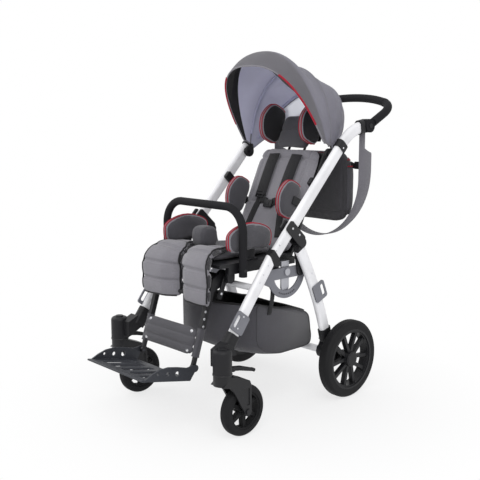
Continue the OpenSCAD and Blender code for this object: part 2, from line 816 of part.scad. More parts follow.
// Rear foot from the leg to the axle
heel_lead = 6;
heel_drop = 52;
heel = leg_foot - [heel_lead, heel_drop];
heel_r = 26;
boss_r = 24;
foot_sleeve = 46;
foot_low = 10;
axle_r = 8;
foot_in = tube_in - socket_wall;
foot_out = tube_out + socket_wall;
rear_cross_r = 13;
module rear_foot() {
  low = at(leg_foot, rear_leg_slope, -foot_low);
  wide = half_deep + socket_wall;
  lean = atan2(rear_axle[1] - heel[1], rear_axle[0] - heel[0]);
  color(black_part) difference() {
    union() {
      up_slope(frame_x, low, rear_leg_slope) linear_extrude(foot_sleeve)
        oval(tube_depth + 2 * socket_wall, tube_thick + 2 * socket_wall);
      plate(foot_in, foot_out) {
        translate(heel) circle(heel_r);
        translate(rear_axle) circle(boss_r);
        polygon([at(heel, lean, 0, heel_r), at(rear_axle, lean, 0, boss_r),
          at(rear_axle, lean, 0, -boss_r), at(heel, lean, 0, -heel_r)]);
        polygon([heel - [heel_r, 0], at(low, rear_leg_slope, 0, -wide / 2),
          at(low, rear_leg_slope, foot_low, -wide + socket_wall),
          at(low, rear_leg_slope, foot_low, wide - socket_wall),
          at(low, rear_leg_slope, 0, wide / 2), heel + [heel_r, 0]]);
      }
    }
    up_slope(frame_x, at(leg_foot, rear_leg_slope, -gap), rear_leg_slope)
      tube_run([[gap], [rear_leg_r, -rear_leg_turn]])
        oval(tube_depth + 2 * snug, tube_thick + 2 * snug);
    rod(rear_axle, axle_r + run_fit, foot_in - over, foot_out + over);
  }
}
module rear_feet() both() rear_foot();

module rear_cross_tube() {
  color(white_paint) rod(heel, rear_cross_r, gap - foot_in, foot_in - gap);
}

hub_over = 2;
hub_half = rear_tyre_w / 2 + hub_over;
collar_r = 14;
module rear_axle_rod() {
  color(steel) {
    rod(rear_axle, axle_r, foot_in + over, wheel_x + rear_tyre_w / 4);
    rod(rear_axle, collar_r, foot_out + gap, wheel_x - hub_half - gap);
  }
}
module rear_axles() both() rear_axle_rod();

rear_loop_turn = 8;
rear_loop = at(rear_leg_mid, rear_leg_slope + rear_loop_turn, 0, rear_leg_r);
module rear_tie_loops() both() loop_plate(rear_loop, rear_leg_slope + rear_loop_turn, 1);

// Brake pedal around the rear cross tube
pedal_half = 46;
pedal_wall = 5;
pedal_len = 62;
pedal_t = 8;
pedal_up = 8;
module brake_pedal() {
  color(black_part) difference() {
    plate(-pedal_half, pedal_half) {
      translate(heel) circle(rear_cross_r + pedal_wall);
      translate(heel + [0, pedal_up - pedal_t / 2]) square([pedal_len, pedal_t]);
      translate(heel + [pedal_len, pedal_up]) circle(pedal_t / 2);
    }
    rod(heel, rear_cross_r + run_fit, -pedal_half - over, pedal_half + over);
    for (i = [-2:2]) translate([i * pedal_half / 2.8, heel[0] + 0.7 * pedal_len, heel[1]])
      cylinder(r = pedal_t / 2, h = 4 * pedal_t);
  }
}

// Rear wheel with five pairs of spokes
tyre_share = 0.78;
rim_share = 0.69;
spoke_pairs = 5;
module rear_wheel() {
  r = rear_wheel_d / 2;
  w = rear_tyre_w;
  color(black_part) translate([wheel_x, rear_axle[0], rear_axle[1]]) rotate([0, 90, 0]) {
    difference() {
      union() {
        rotate_extrude() {
          translate([rim_share * r, -0.42 * w]) square([(tyre_share - rim_share) * r - snug, 0.84 * w]);
          translate([(tyre_share - 0.05) * r, -0.42 * w]) square([0.05 * r - snug, 0.92 * w]);
          translate([0, -hub_half]) square([0.19 * r, 2 * hub_half - over]);
          translate([0, hub_half - 2 * over]) square([0.15 * r, 2 * over]);
        }
        translate([0, 0, -0.1 * w]) linear_extrude(0.4 * w)
          for (i = [1:spoke_pairs], s = [-1, 1]) rotate(360 * i / spoke_pairs)
            polygon([[0.1 * r, s * 0.02 * r], [0.1 * r, s * 0.1 * r], [0.71 * r, s * 0.24 * r],
              [0.71 * r, s * 0.15 * r]]);
      }
      translate([0, 0, -hub_half - over])
        cylinder(r = axle_r + run_fit, h = hub_half + rear_tyre_w / 4 + 2 * over);
    }
  }
}
module rear_tyre() {
  r = rear_wheel_d / 2;
  color(black_part) translate([wheel_x, rear_axle[0], rear_axle[1]]) rotate([0, 90, 0])
    rotate_extrude() tyre_outline(r, rear_tyre_w, 0.31 * rear_tyre_w, (1 - tyre_share) * r);
}
module left_rear_wheel() rear_wheel();
module right_rear_wheel() mirror([1, 0, 0]) rear_wheel();
module left_rear_tyre() rear_tyre();
module right_rear_tyre() mirror([1, 0, 0]) rear_tyre();

// Seat frame: rails, board, legrest rod, recline rod, bumper pins
rod_r = 9;
lug_r = 16;
lug_w = 12;
rail_z = board_z - rail_h;
rail_front = -505;
rail_rear = -184;
board_rear = board_front + board_len;
bumper_r = bumper_d / 2;
bumper_pin_r = 6;
bumper_clear = 3;
bumper_x = board_x + bumper_clear + bumper_r;
pommel_y = -450;
pommel_rod_r = 8;
vent_w = 60;
vent_len = 120;
vent_y = -330;
module seat_frame() {
  color(black_part) {
    difference() {
      union() {
        translate([-board_x, board_front, board_z]) cube([board_w, board_len, board_t]);
        both() translate([board_x - rail_w, rail_front, rail_z])
          cube([rail_w, rail_rear - rail_front, rail_h]);
        both() plate(board_x - rail_w, board_x - rail_w + lug_w) {
          translate(legrest_pin) circle(lug_r);
          translate([legrest_pin[0] - lug_r, legrest_pin[1]])
            square([2 * lug_r, rail_z - legrest_pin[1] + over]);
        }
        rod(legrest_pin, rod_r, rail_w - board_x, board_x - rail_w);
        rod(recline_pin, rod_r, rail_w - board_x, board_x - rail_w);
        both() rod(bumper_pin, bumper_pin_r, board_x - over, bumper_x + bumper_r - over);
      }
      translate([0, pommel_y, board_z - over])
        cylinder(r = pommel_rod_r + run_fit, h = board_t + 2 * over);
      for (s = [-1, 1]) translate([s * vent_w, vent_y, board_z - over])
        linear_extrude(board_t + 2 * over) round_box(vent_w, vent_len, vent_w / 4);
    }
  }
}

// Pale tilt arms between the seat rails and the tilt shaft
tilt_arm_clear = 2;
tilt_arm_t = 6;
tilt_arm_in = tilt_plate_in - tilt_arm_clear - tilt_arm_t;
tilt_arm_w = 38;
tilt_arm_low = 66;
tilt_arm_high = 38;
tilt_block_low = 20;
module tilt_arm() {
  color(steel) difference() {
    union() {
      plate(tilt_arm_in, tilt_arm_in + tilt_arm_t) {
        translate(tilt_pin - [tilt_arm_w / 2, tilt_arm_low - tilt_arm_w / 3])
          square([tilt_arm_w, tilt_arm_low + tilt_arm_high - tilt_arm_w / 3]);
        translate(tilt_pin - [0, tilt_arm_low - tilt_arm_w / 3]) circle(tilt_arm_w / 2);
      }
      plate(board_x + gap, tilt_arm_in + over) translate(tilt_pin + [-tilt_arm_w / 2, tilt_block_low])
        square([tilt_arm_w, tilt_arm_high - tilt_block_low]);
    }
    rod(tilt_pin, shaft_r + run_fit, board_x, tilt_plate_in);
  }
}
module tilt_arms() both() tilt_arm();

// Seat cushions
base_side = 47;
base_half = board_x - base_side;
base_rear = -218;
base_t = 20;
base_crown = 4;
module seat_base() {
  color(grey_cloth) difference() {
    translate([0, board_front + over, board_top + gap + base_t / 2])
      cushion([2 * base_half, base_rear - board_front, base_t], base_crown, 0.02, 0, 0, 10, 16);
    translate([0, pommel_y, board_top]) cylinder(r = pommel_rod_r + over, h = 2 * base_t);
  }
}

// Thigh pad: lies on the seat, rolls over the front edge and hangs down
pad_t = 30;
pad_rear = -432;
pad_roll_y = -542;
pad_roll_r = 42;
pad_hang = 118;
pad_lift = 0.9;
pad_in = 12;
pad_edge = 14;
pad_out = board_x - pad_edge;
pad_rear_in = 48;
pad_rear_edge = 74;
pad_rear_out = board_x - pad_rear_edge;
pad_narrow = 40;
pad_widen = 50;
pad_crown = 3;
pad_dip = 7;
pad_flat = pad_roll_y - pad_rear;
pad_roll = pad_roll_r * PI / 2;
pad_total = pad_roll + pad_hang - pad_flat;
pad_m = 25;
pad_chans = 5;
pad_mid_z = board_top + base_t + pad_lift + pad_t / 2;
// Side-view place and slope of the pad's middle line at a length from its rear
function pad_place(l) =
  l < -pad_flat ? [pad_rear - l, pad_mid_z, 0] :
  l < pad_roll - pad_flat ?
    let (a = (l + pad_flat) / pad_roll_r * 180 / PI)
    [pad_roll_y - pad_roll_r * sin(a), pad_mid_z - pad_roll_r * (1 - cos(a)), a] :
  [pad_roll_y - pad_roll_r, pad_mid_z - pad_roll_r - (l - pad_roll + pad_flat), 90];
function pad_side(l) = [pad_rear_in + (pad_in - pad_rear_in) * min(1, max(0, (l - pad_narrow) / pad_widen)),
  pad_rear_out + (pad_out - pad_rear_out) * min(1, l / (pad_roll - pad_flat))];
function thigh_ring(i, n, lead = 0) =
  let (u = i / pad_m, l = pad_total * u + lead, p = pad_place(l), e = ease(0.98 * (2 * u - 1), 4),
       lim = pad_side(l), mid = (lim[0] + lim[1]) / 2, w = (lim[1] - lim[0]) / 2 * (0.7 + 0.3 * e),
       g = pad_dip * pow(abs(cos(180 * pad_chans * u)), 8),
       top = (pad_t / 2 + pad_crown - g) * max(0.2, e), low = pad_t / 2 * max(0.2, e))
  [for (q = pad_ring(mid - w, mid + w, 0, top, low, n))
    [q[0], p[0] - q[2] * sin(p[2]), p[1] + q[2] * cos(p[2])]];
// The pad is sewn across where it starts to roll: one part lies, the other hangs and bends
pad_sewn = 2 * pad_m / pad_chans;
module thigh_pads() {
  color(grey_cloth) both() skin([for (i = [pad_sewn:-1:0]) thigh_ring(i, 16)]);
}
module thigh_flaps() {
  color(grey_cloth) both()
    skin([for (i = [pad_m:-1:pad_sewn]) thigh_ring(i, 16, i == pad_sewn ? gap : 0)]);
}

// Hip pads on feet that slide on the board
hip_side = 34;
hip_in = board_x - hip_side;
hip_t = 33;
hip_y = -395;
hip_w = 210;
hip_h = 104;
hip_low = 577;
hip_foot_w = 40;
hip_foot_t = 18;
module hip_pad() {
  color(grey_cloth) translate([hip_in + hip_t / 2, hip_y, hip_low]) rotate([90, 0, 90])
    d_pad(hip_w, hip_h, hip_t, 10, 16);
  color(black_part)
    translate([hip_in + hip_t / 2 - hip_foot_t / 2, hip_y - hip_foot_w / 2, board_top + gap])
      cube([hip_foot_t, hip_foot_w, hip_low + hip_h / 3 - board_top - gap]);
}
module left_hip_pad() hip_pad();
module right_hip_pad() mirror([1, 0, 0]) hip_pad();

pommel_w = 78;
pommel_d = 76;
pommel_h = 78;
pommel_low = 581;
pommel_stem = 500;
module pommel() {
  color(grey_cloth) translate([0, pommel_y, pommel_low]) rotate([90, 0, 0])
    cushion([pommel_w, pommel_h, pommel_d], 0, 0.02, 0, 0, 10, 16);
  color(black_part) translate([0, pommel_y, pommel_stem])
    cylinder(r = pommel_rod_r, h = pommel_low + pommel_h / 2 - pommel_stem);
}

bumper_bend = 85;
bumper_tail = 22;
module bumper_bar() {
  color(black_part) difference() {
    translate([bumper_x, bumper_pin[0], bumper_pin[1] - bumper_tail]) rotate([0, 0, 90])
      tube_run([[bumper_tail + bumper_h - bumper_bend], [bumper_bend, 90],
        [2 * bumper_x - 2 * bumper_bend], [bumper_bend, 90],
        [bumper_tail + bumper_h - bumper_bend]]) circle(bumper_r);
    rod(bumper_pin, bumper_pin_r + run_fit, -bumper_x - bumper_d, bumper_x + bumper_d);
  }
}

// Backrest, drawn upright in its own frame: forward is -Y, up the back is Z
module on_back() {
  translate([0, recline_pin[0], recline_pin[1]]) rotate([back_slope - 90, 0, 0]) children();
}
shell_y = 27;
shell_t = 9;
shell_inset = 5;
back_w = 2 * (board_x - back_side);
shell_half = back_w / 2 - shell_inset;
shell_low = -10;
shell_high = 425;
back_low = 22;
back_t = 27;
back_crown = 8;
back_dip = 6;
back_vent_first = 60;
back_vent_step = 95;
back_vent_h = 60;
back_vent_r = 18;
lug_side = 50;
lug_x = board_x - rail_w - lug_side;
guide_x = 40;
guide_y = 35.5;
guide_r = 8.5;
guide_low = 340;
head_rod_r = 5;
module back_frame() {
  color(black_part) on_back() difference() {
    union() {
      translate([-shell_half, shell_y, lug_r + over])
        cube([2 * shell_half, shell_t, shell_high - lug_r - over]);
      both() plate(lug_x, lug_x + lug_w) {
        circle(lug_r);
        polygon([[0, -lug_r], [shell_y + shell_t, shell_low], [shell_y + shell_t, 3 * lug_r],
          [shell_y, 3 * lug_r], [shell_y, lug_r], [0, lug_r]]);
      }
      for (s = [-1, 1]) translate([s * guide_x, guide_y, guide_low])
        cylinder(r = guide_r, h = shell_high - guide_low);
    }
    rod([0, 0], rod_r + run_fit, -shell_half, shell_half);
    for (s = [-1, 1]) translate([s * guide_x, guide_y, guide_low - guide_r])
      cylinder(r = head_rod_r + run_fit, h = back_h);
    for (i = [0:2]) translate([0, shell_y - over, back_low + back_vent_first + i * back_vent_step])
      rotate([-90, 0, 0]) linear_extrude(shell_t + 2 * over)
        round_box(1.1 * shell_half, back_vent_h, back_vent_r);
  }
}
module back_cushion() {
  color(grey_cloth) on_back() translate([0, shell_y - gap - back_t / 2, back_low]) rotate([90, 0, 0])
    cushion([back_w, back_h, back_t], back_crown, 0.03, 2, back_dip, 24, 16);
}

belt_x = 58;
belt_w = 32;
belt_t = 3;
belt_low = 70;
belt_high = 400;
chest_at = 185;
buckle_w = 30;
buckle_h = 36;
buckle_t = 10;
belt_y = shell_y - gap - back_t - back_crown - belt_t - gap;
module harness() {
  color(black_part) on_back() {
    both() translate([belt_x - belt_w / 2, belt_y, belt_low])
      cube([belt_w, belt_t, belt_high - belt_low]);
    translate([-belt_x, belt_y, chest_at]) cube([2 * belt_x, belt_t, belt_w]);
    both() translate([belt_x - buckle_w / 2 - over, belt_y - buckle_t, chest_at - over])
      cube([buckle_w, buckle_t, buckle_h]);
  }
}

// Headrest on two rods
head_half = 80;
head_low = 432;
head_h = 132;
head_t = 36;
head_seat = 2;
head_crown = 6;
head_dip = 5;
head_back = 25;
bar_t = 6;
bar_half = 112;
bar_low = 470;
bar_h = 64;
wing_in = 84;
wing_t = 36;
wing_h = 150;
wing_d = 126;
wing_low = 440;
module headrest_frame() {
  color(black_part) on_back() {
    translate([-bar_half, head_back + gap, bar_low]) cube([2 * bar_half, bar_t, bar_h]);
    for (s = [-1, 1]) translate([s * guide_x, guide_y, guide_low])
      cylinder(r = head_rod_r, h = bar_low + bar_h - guide_low);
  }
}
module headrest() {
  color(grey_cloth) on_back() {
    translate([0, head_back - head_t / 2 + head_seat, head_low]) rotate([90, 0, 0])
      cushion([2 * head_half, head_h, head_t - 2 * head_seat], head_crown, 0.03, 2, head_dip, 12, 16);
    both() translate([wing_in + wing_t / 2, head_back, wing_low + wing_h / 2])
      rotate([0, 90, 0]) rotate([0, 0, 180]) d_pad(wing_h, wing_d, wing_t, 10, 16);
  }
}

trunk_in = 115;
trunk_t = 36;
trunk_h = 140;
trunk_d = 108;
trunk_low = 135;
trunk_back = -14;
trunk_bar_t = 6;
trunk_foot_t = 4;
trunk_bar_h = 34;
trunk_foot = 50;
module trunk_pad() {
  bar_x = back_w / 2 + over + gap;
  bar_z = trunk_low + trunk_h / 2 - trunk_bar_h / 2;
  bar_y = shell_y + shell_t + gap;
  color(grey_cloth) on_back() translate([bar_x - gap - trunk_t / 2, trunk_back, trunk_low + trunk_h / 2])
    rotate([0, 90, 0]) rotate([0, 0, 180]) d_pad(trunk_h, trunk_d, trunk_t, 10, 16);
  color(black_part) on_back() {
    translate([bar_x - 2 * over, trunk_back - trunk_d / 2, bar_z])
      cube([trunk_bar_t + 2 * over, trunk_d / 2 + trunk_back + over - 2 * trunk_back, trunk_bar_h]);
    translate([bar_x, trunk_back, bar_z])
      cube([trunk_bar_t, bar_y + trunk_foot_t - trunk_back, trunk_bar_h]);
    translate([bar_x - trunk_foot, bar_y, bar_z])
      cube([trunk_foot + trunk_bar_t, trunk_foot_t, trunk_bar_h]);
  }
}
module left_trunk_pad() trunk_pad();
module right_trunk_pad() mirror([1, 0, 0]) trunk_pad();

// Legrest: hollow posts with adjusting holes, foot hangers inside
knee_r = 26;
bore_w = post_w - 2 * post_wall;
bore_d = post_d - 2 * post_wall;
tie_at = 66;
tie_r = 8;
hole_r = 3;
hole_first = 84;
hole_step = 25;
module legrest_frame() {
  color(black_part) difference() {
    union() {
      both() {
        up_slope(post_x, legrest_top, legrest_slope) translate([-post_w / 2, -post_d / 2, 0])
          cube([post_w, post_d, post_len]);
        plate(post_x - post_w / 2 + over, post_x + post_w / 2 - over) {
          translate(legrest_pin) circle(knee_r);
          polygon([legrest_pin + [0, knee_r - over], at(legrest_top, legrest_slope, over, post_d / 3),
            at(legrest_top, legrest_slope, 2 * knee_r, 0), legrest_pin - [0, knee_r - over]]);
        }
      }
      rod(at(legrest_top, legrest_slope, tie_at), tie_r,
        post_w / 2 - post_x - over, post_x - post_w / 2 + over);
    }
    both() up_slope(post_x, legrest_top, legrest_slope)
      translate([-bore_w / 2, -bore_d / 2, 2 * post_wall]) cube([bore_w, bore_d, post_len]);
    rod(legrest_pin, rod_r + run_fit, -post_x - post_w, post_x + post_w);
    both() for (i = [0:4]) rod(at(legrest_top, legrest_slope, hole_first + i * hole_step), hole_r,
      post_x - post_w, post_x + post_w);
  }
}
strap_over = 4;
strap_half = post_x + strap_over;
strap_from = 166;
strap_h = 104;
calf_t = 12;
calf_crown = 2;
calf_dip = 4;
strap_seat = 2.15;
module calf_strap() {
  ahead = post_d / 2 + gap + calf_t / 2 - strap_seat;
  color(dark_cloth) up_slope(0, at(legrest_top, legrest_slope, strap_from, ahead), legrest_slope)
    rotate([90, 0, 0]) mirror([0, 0, 1])
      cushion([2 * strap_half, strap_h, calf_t], calf_crown, 0.01, 3, calf_dip, 18, 16);
}

hanger_from = 56;
hanger_fit = 0.2;
eye_r = 10;
foot_pin_r = 5;
module foot_hanger() {
  w = bore_w - 2 * hanger_fit;
  d = bore_d - 2 * hanger_fit;
  color(steel) difference() {
    union() {
      up_slope(post_x, at(legrest_top, legrest_slope, hanger_from), legrest_slope)
        translate([-w / 2, -d / 2, 0]) cube([w, d, foot_at - hanger_from]);
      rod(foot_pin, eye_r, post_x - w / 2, post_x + w / 2);
    }
    rod(foot_pin, foot_pin_r + run_fit, post_x - w, post_x + w);
  }
}
module foot_hangers() both() foot_hanger();

// Footplate: sloping tray with curved cheeks, round holes and floor slots
cheek_t = 6;
cheek_clear = 1.5;
cheek_in = post_x + post_w / 2 + cheek_clear;
cheek_out = cheek_in + cheek_t;
cheek_h = 46;
ear_r = 12;
foot_holes = 3;
hole_small = 5;
hole_grow = 2;
slot_gap = 14;
function on_foot(u, h) = at(foot_rear, foot_pitch, u * foot_len, 0) + h * side(foot_pitch);
module footplate() {
  color(black_part) difference() {
    union() {
      plate(-cheek_out, cheek_out)
        polygon([on_foot(0, 0), on_foot(1, 0), on_foot(1, foot_t), on_foot(0, foot_t)]);
      both() plate(cheek_in, cheek_out) {
        polygon([on_foot(0, 0), on_foot(0.94, 0), on_foot(0.94, foot_t), on_foot(0.82, 0.5 * cheek_h),
          on_foot(0.68, 0.82 * cheek_h), on_foot(0.5, cheek_h), on_foot(0.3, cheek_h),
          on_foot(0.1, 0.94 * cheek_h),
          foot_pin + [0, ear_r], foot_pin + [ear_r / 2, -ear_r / 2], foot_pin - [ear_r / 3, ear_r]]);
        translate(foot_pin) circle(ear_r);
      }
      both() rod(foot_pin, foot_pin_r, post_x - bore_w / 2, cheek_in + over);
      plate(-cheek_out, cheek_out) translate(on_foot(1, foot_t / 2)) circle(foot_t / 2);
    }
    for (i = [0:foot_holes - 1]) plate(-cheek_out - over, cheek_out + over)
      translate(on_foot(0.7 - 0.2 * i, 0.52 * cheek_h)) circle(hole_small + i * hole_grow);
    for (i = [-2:2])
      translate([i * cheek_in / 2.8, foot_rear[0] - 0.5 * foot_len, foot_rear[1] - foot_len])
        linear_extrude(2 * foot_len) round_box(slot_gap * 2, 0.66 * foot_len, slot_gap * 0.9);
  }
}

module show() {
  translate([0, -mid_y, 0]) children();
}

show() left_push_tube();
show() right_push_tube();
show() fold_tongues();
show() leg_brackets();
show() tilt_plates();
show() tilt_shaft();
show() tube_clamps();
show() hood_rear();
show() handle_hubs();
show() bag();
show() bag_strap();
show() basket();
show() front_legs();
show() fold_clevises();
show() left_caster_housing();
show() right_caster_housing();
show() front_cross_tube();
show() front_tie_loops();
show() left_caster_fork();
show() right_caster_fork();
show() left_front_wheel();
show() right_front_wheel();
show() left_lock_lever();
show() right_lock_lever();
show() rear_legs();
show() rear_knuckles();
show() rear_feet();
show() rear_cross_tube();
show() rear_axles();
show() rear_tie_loops();
show() brake_pedal();
show() left_rear_wheel();
show() right_rear_wheel();
show() left_rear_tyre();
show() right_rear_tyre();
show() seat_frame();
show() tilt_arms();
show() seat_base();
show() thigh_pads();
show() thigh_flaps();
show() left_hip_pad();
show() right_hip_pad();
show() pommel();
show() bumper_bar();
show() back_frame();
show() back_cushion();
show() harness();
show() headrest_frame();
show() headrest();
show() left_trunk_pad();
show() right_trunk_pad();
show() legrest_frame();
show() calf_strap();
show() foot_hangers();
show() footplate();
show() push_handle();
show() left_handle_button();
show() right_handle_button();
show() hood_front();
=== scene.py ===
# %% [markdown]
# # Dressing a special needs buggy
# The buggy's frame, wheels, plates and joints come as a finished CAD model, and they already sit where they belong.
# What CAD can't show well is the cloth: padded seat parts, a hood, a bag and a basket. This lesson adds those and
# gives every part a finish. It runs from top to bottom like a notebook, and each cell prints what it made.

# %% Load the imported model
import json
import math
import bmesh
import bpy
import numpy as np
from mathutils import Matrix, Vector
from mathutils.bvhtree import BVHTree


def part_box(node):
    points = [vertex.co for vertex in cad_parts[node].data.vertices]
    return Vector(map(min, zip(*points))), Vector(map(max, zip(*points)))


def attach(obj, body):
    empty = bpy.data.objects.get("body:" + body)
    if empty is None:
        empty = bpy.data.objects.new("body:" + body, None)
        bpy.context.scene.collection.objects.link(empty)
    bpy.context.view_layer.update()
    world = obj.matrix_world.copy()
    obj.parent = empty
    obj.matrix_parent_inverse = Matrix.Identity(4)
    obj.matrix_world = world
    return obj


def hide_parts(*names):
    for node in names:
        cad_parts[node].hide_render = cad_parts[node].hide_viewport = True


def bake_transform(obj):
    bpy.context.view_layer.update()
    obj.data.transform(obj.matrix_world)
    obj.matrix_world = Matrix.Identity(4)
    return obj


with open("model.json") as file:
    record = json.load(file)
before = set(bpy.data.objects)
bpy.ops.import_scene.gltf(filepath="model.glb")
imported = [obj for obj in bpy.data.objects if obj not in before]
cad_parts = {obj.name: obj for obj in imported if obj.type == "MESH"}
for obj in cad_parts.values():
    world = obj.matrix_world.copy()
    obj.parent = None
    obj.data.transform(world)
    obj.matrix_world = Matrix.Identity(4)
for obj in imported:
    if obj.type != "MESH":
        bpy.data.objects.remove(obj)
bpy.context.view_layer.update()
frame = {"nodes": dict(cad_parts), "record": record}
scene = bpy.context.scene

# %% [markdown]
# ## Camera
# The photograph looks down on the buggy's left front corner from about chest height. The camera could be turned by
# eye, but here it was solved from the ellipses of both left wheels, so it is written down as numbers. All places are
# in millimetres from the floor under the rear axle, as on a workshop drawing; `place` turns them into metres.

# %% Places and the camera
axle_y = sum(corner.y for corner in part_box("left_rear_tyre")) / 2


def place(x, y, z):
    return Vector((x / 1000, y / 1000 + axle_y, z / 1000))


lens = bpy.data.cameras.new("photo_camera")
lens.sensor_width = 36
lens.lens = 57.785
camera = bpy.data.objects.new("photo_camera", lens)
camera.location = place(2029.44, -2189.95, 1028.40)
camera.rotation_euler = (math.radians(81.01), 0, math.radians(46.72))
scene.collection.objects.link(camera)
scene.camera = camera
scene.view_settings.view_transform = "Standard"
print("camera", [round(v, 3) for v in camera.location])

# %% [markdown]
# ## Finishes
# A material is a small tree of nodes. Two helpers keep the trees short to write: `new_finish` makes the shader and
# sets the values that are the same all over, and `node` adds one node and joins its inputs by name.
# Colours are written as they look on a screen, from 0 to 255, and turned into the linear values that a shader wants.

# %% Helpers for finishes
def linear(*levels):
    return tuple((v / 255 / 12.92) if v < 10 else ((v / 255 + 0.055) / 1.055) ** 2.4 for v in levels)


def new_finish(name, colour, rough, **sockets):
    mat = bpy.data.materials.new(name)
    mat.use_nodes = True
    shader = mat.node_tree.nodes["Principled BSDF"]
    shader.inputs["Base Color"].default_value = (*linear(*colour), 1)
    shader.inputs["Roughness"].default_value = rough
    for socket, value in sockets.items():
        shader.inputs[socket.replace("_", " ")].default_value = value
    mat.diffuse_color = (*linear(*colour), 1)
    return mat


def node(mat, kind, settings=None, **inputs):
    made = mat.node_tree.nodes.new("ShaderNode" + kind)
    for key, value in (settings or {}).items():
        setattr(made, key, value)
    for key, value in inputs.items():
        socket = made.inputs[int(key[1:])] if key[1:].isdigit() else made.inputs[key.replace("_", " ")]
        if isinstance(value, bpy.types.NodeSocket):
            mat.node_tree.links.new(value, socket)
        else:
            socket.default_value = value
    return made


def to_shader(mat, socket, value):
    mat.node_tree.links.new(value, mat.node_tree.nodes["Principled BSDF"].inputs[socket])


def blend_colours(mat, amount, first, second):
    mix = node(mat, "Mix", {"data_type": "RGBA"}, i0=amount)
    for index, value in ((6, first), (7, second)):
        if isinstance(value, bpy.types.NodeSocket):
            mat.node_tree.links.new(value, mix.inputs[index])
        else:
            mix.inputs[index].default_value = (*linear(*value), 1)
    return mix.outputs[2]


def ramp(mat, value, low, high, start=0.0, end=1.0):
    span = node(mat, "MapRange", None, Value=value, From_Min=low, From_Max=high, To_Min=start, To_Max=end)
    return span.outputs["Result"]


# %% [markdown]
# ## Hard finishes
# Powder paint, moulded plastic, rubber and steel differ in gloss and grain, but share a recipe: a fine noise for the
# grain of the surface, a broad noise for dull and shiny patches, and rounded edges in a second colour that is partly
# wear and partly a painted edge highlight. Real edges could be bevelled in the mesh; the Bevel node rounds them while
# shading, so the CAD meshes stay untouched.

# %% Recipe for hard parts
def hard_finish(name, colour, rough, edge_wear_and_highlight, grain=700.0, depth=0.25, edge=0.0012, stretch=(1, 1, 1), **sockets):
    mat = new_finish(name, colour, rough, **sockets)
    spot = node(mat, "TexCoord").outputs["Object"]
    along = node(mat, "VectorMath", {"operation": "MULTIPLY"}, i0=spot, i1=stretch).outputs[0]
    fine = node(mat, "TexNoise", None, Vector=along, Scale=grain, Detail=2.0).outputs[0]
    cloud = node(mat, "TexNoise", None, Vector=spot, Scale=9.0, Detail=5.0).outputs[0]
    round_off = node(mat, "Bevel", {"samples": 4}, Radius=edge).outputs[0]
    true_side = node(mat, "NewGeometry").outputs["Normal"]
    turn = node(mat, "VectorMath", {"operation": "DOT_PRODUCT"}, i0=round_off, i1=true_side).outputs["Value"]
    # Edges take the fourth colour in patches of the broad noise: partly wear, partly a painted edge highlight that
    # lightens the dark parts.
    worn_and_highlit_edges = node(mat, "Math", {"operation": "MULTIPLY"}, i0=ramp(mat, turn, 0.985, 0.85),
                  i1=ramp(mat, cloud, 0.4, 0.65)).outputs[0]
    light, dark = [tuple(min(255, v * share) for v in colour) for share in (1.05, 0.95)]
    body = blend_colours(mat, ramp(mat, cloud, 0.3, 0.7), dark, light)
    to_shader(mat, "Base Color", blend_colours(mat, worn_and_highlit_edges, body, edge_wear_and_highlight))
    to_shader(mat, "Roughness", ramp(mat, cloud, 0.25, 0.75, rough - 0.06, rough + 0.08))
    bump = node(mat, "Bump", None, Strength=depth, Distance=0.0004, Height=fine, Normal=round_off)
    to_shader(mat, "Normal", bump.outputs[0])
    return mat


# The fourth colour of each finish is its edge colour: partly wear, partly a painted edge highlight.
white_powder = hard_finish("white_powder_paint", (238, 238, 241), 0.34, (205, 206, 210), grain=900, depth=0.12,
                           Coat_Weight=0.25, Coat_Roughness=0.18)
grey_plate = hard_finish("grey_plate_paint", (120, 121, 128), 0.42, (160, 161, 168), grain=900, Metallic=0.35)
black_plastic = hard_finish("black_moulded_plastic", (25, 25, 28), 0.5, (56, 56, 60), grain=1400, depth=0.35,
                            Specular_IOR_Level=0.3)
black_paint = hard_finish("black_satin_paint", (24, 24, 27), 0.42, (60, 60, 65), grain=1000, depth=0.2,
                          Specular_IOR_Level=0.35)
brushed_steel = hard_finish("brushed_steel", (176, 177, 183), 0.32, (205, 205, 210), grain=260, depth=0.2,
                            stretch=(1, 12, 1), Metallic=0.9)
grip_foam = hard_finish("grip_foam", (27, 27, 30), 0.78, (44, 44, 48), grain=520, depth=0.6, edge=0.002,
                        Specular_IOR_Level=0.2)
tyre_rubber = hard_finish("tyre_rubber", (21, 21, 23), 0.7, (42, 42, 44), grain=420, depth=0.5, edge=0.0016,
                          Specular_IOR_Level=0.25)
foot_plastic = hard_finish("footplate_plastic", (50, 52, 58), 0.5, (96, 98, 104), grain=1200, depth=0.35,
                           Specular_IOR_Level=0.35)
bright_rivet = hard_finish("bright_rivet", (214, 215, 219), 0.3, (236, 236, 239), grain=600, depth=0.1, Metallic=0.3)
print("hard finishes:", [m.name for m in (white_powder, grey_plate, black_plastic, black_paint, brushed_steel,
                                          grip_foam, tyre_rubber, foot_plastic, bright_rivet)])
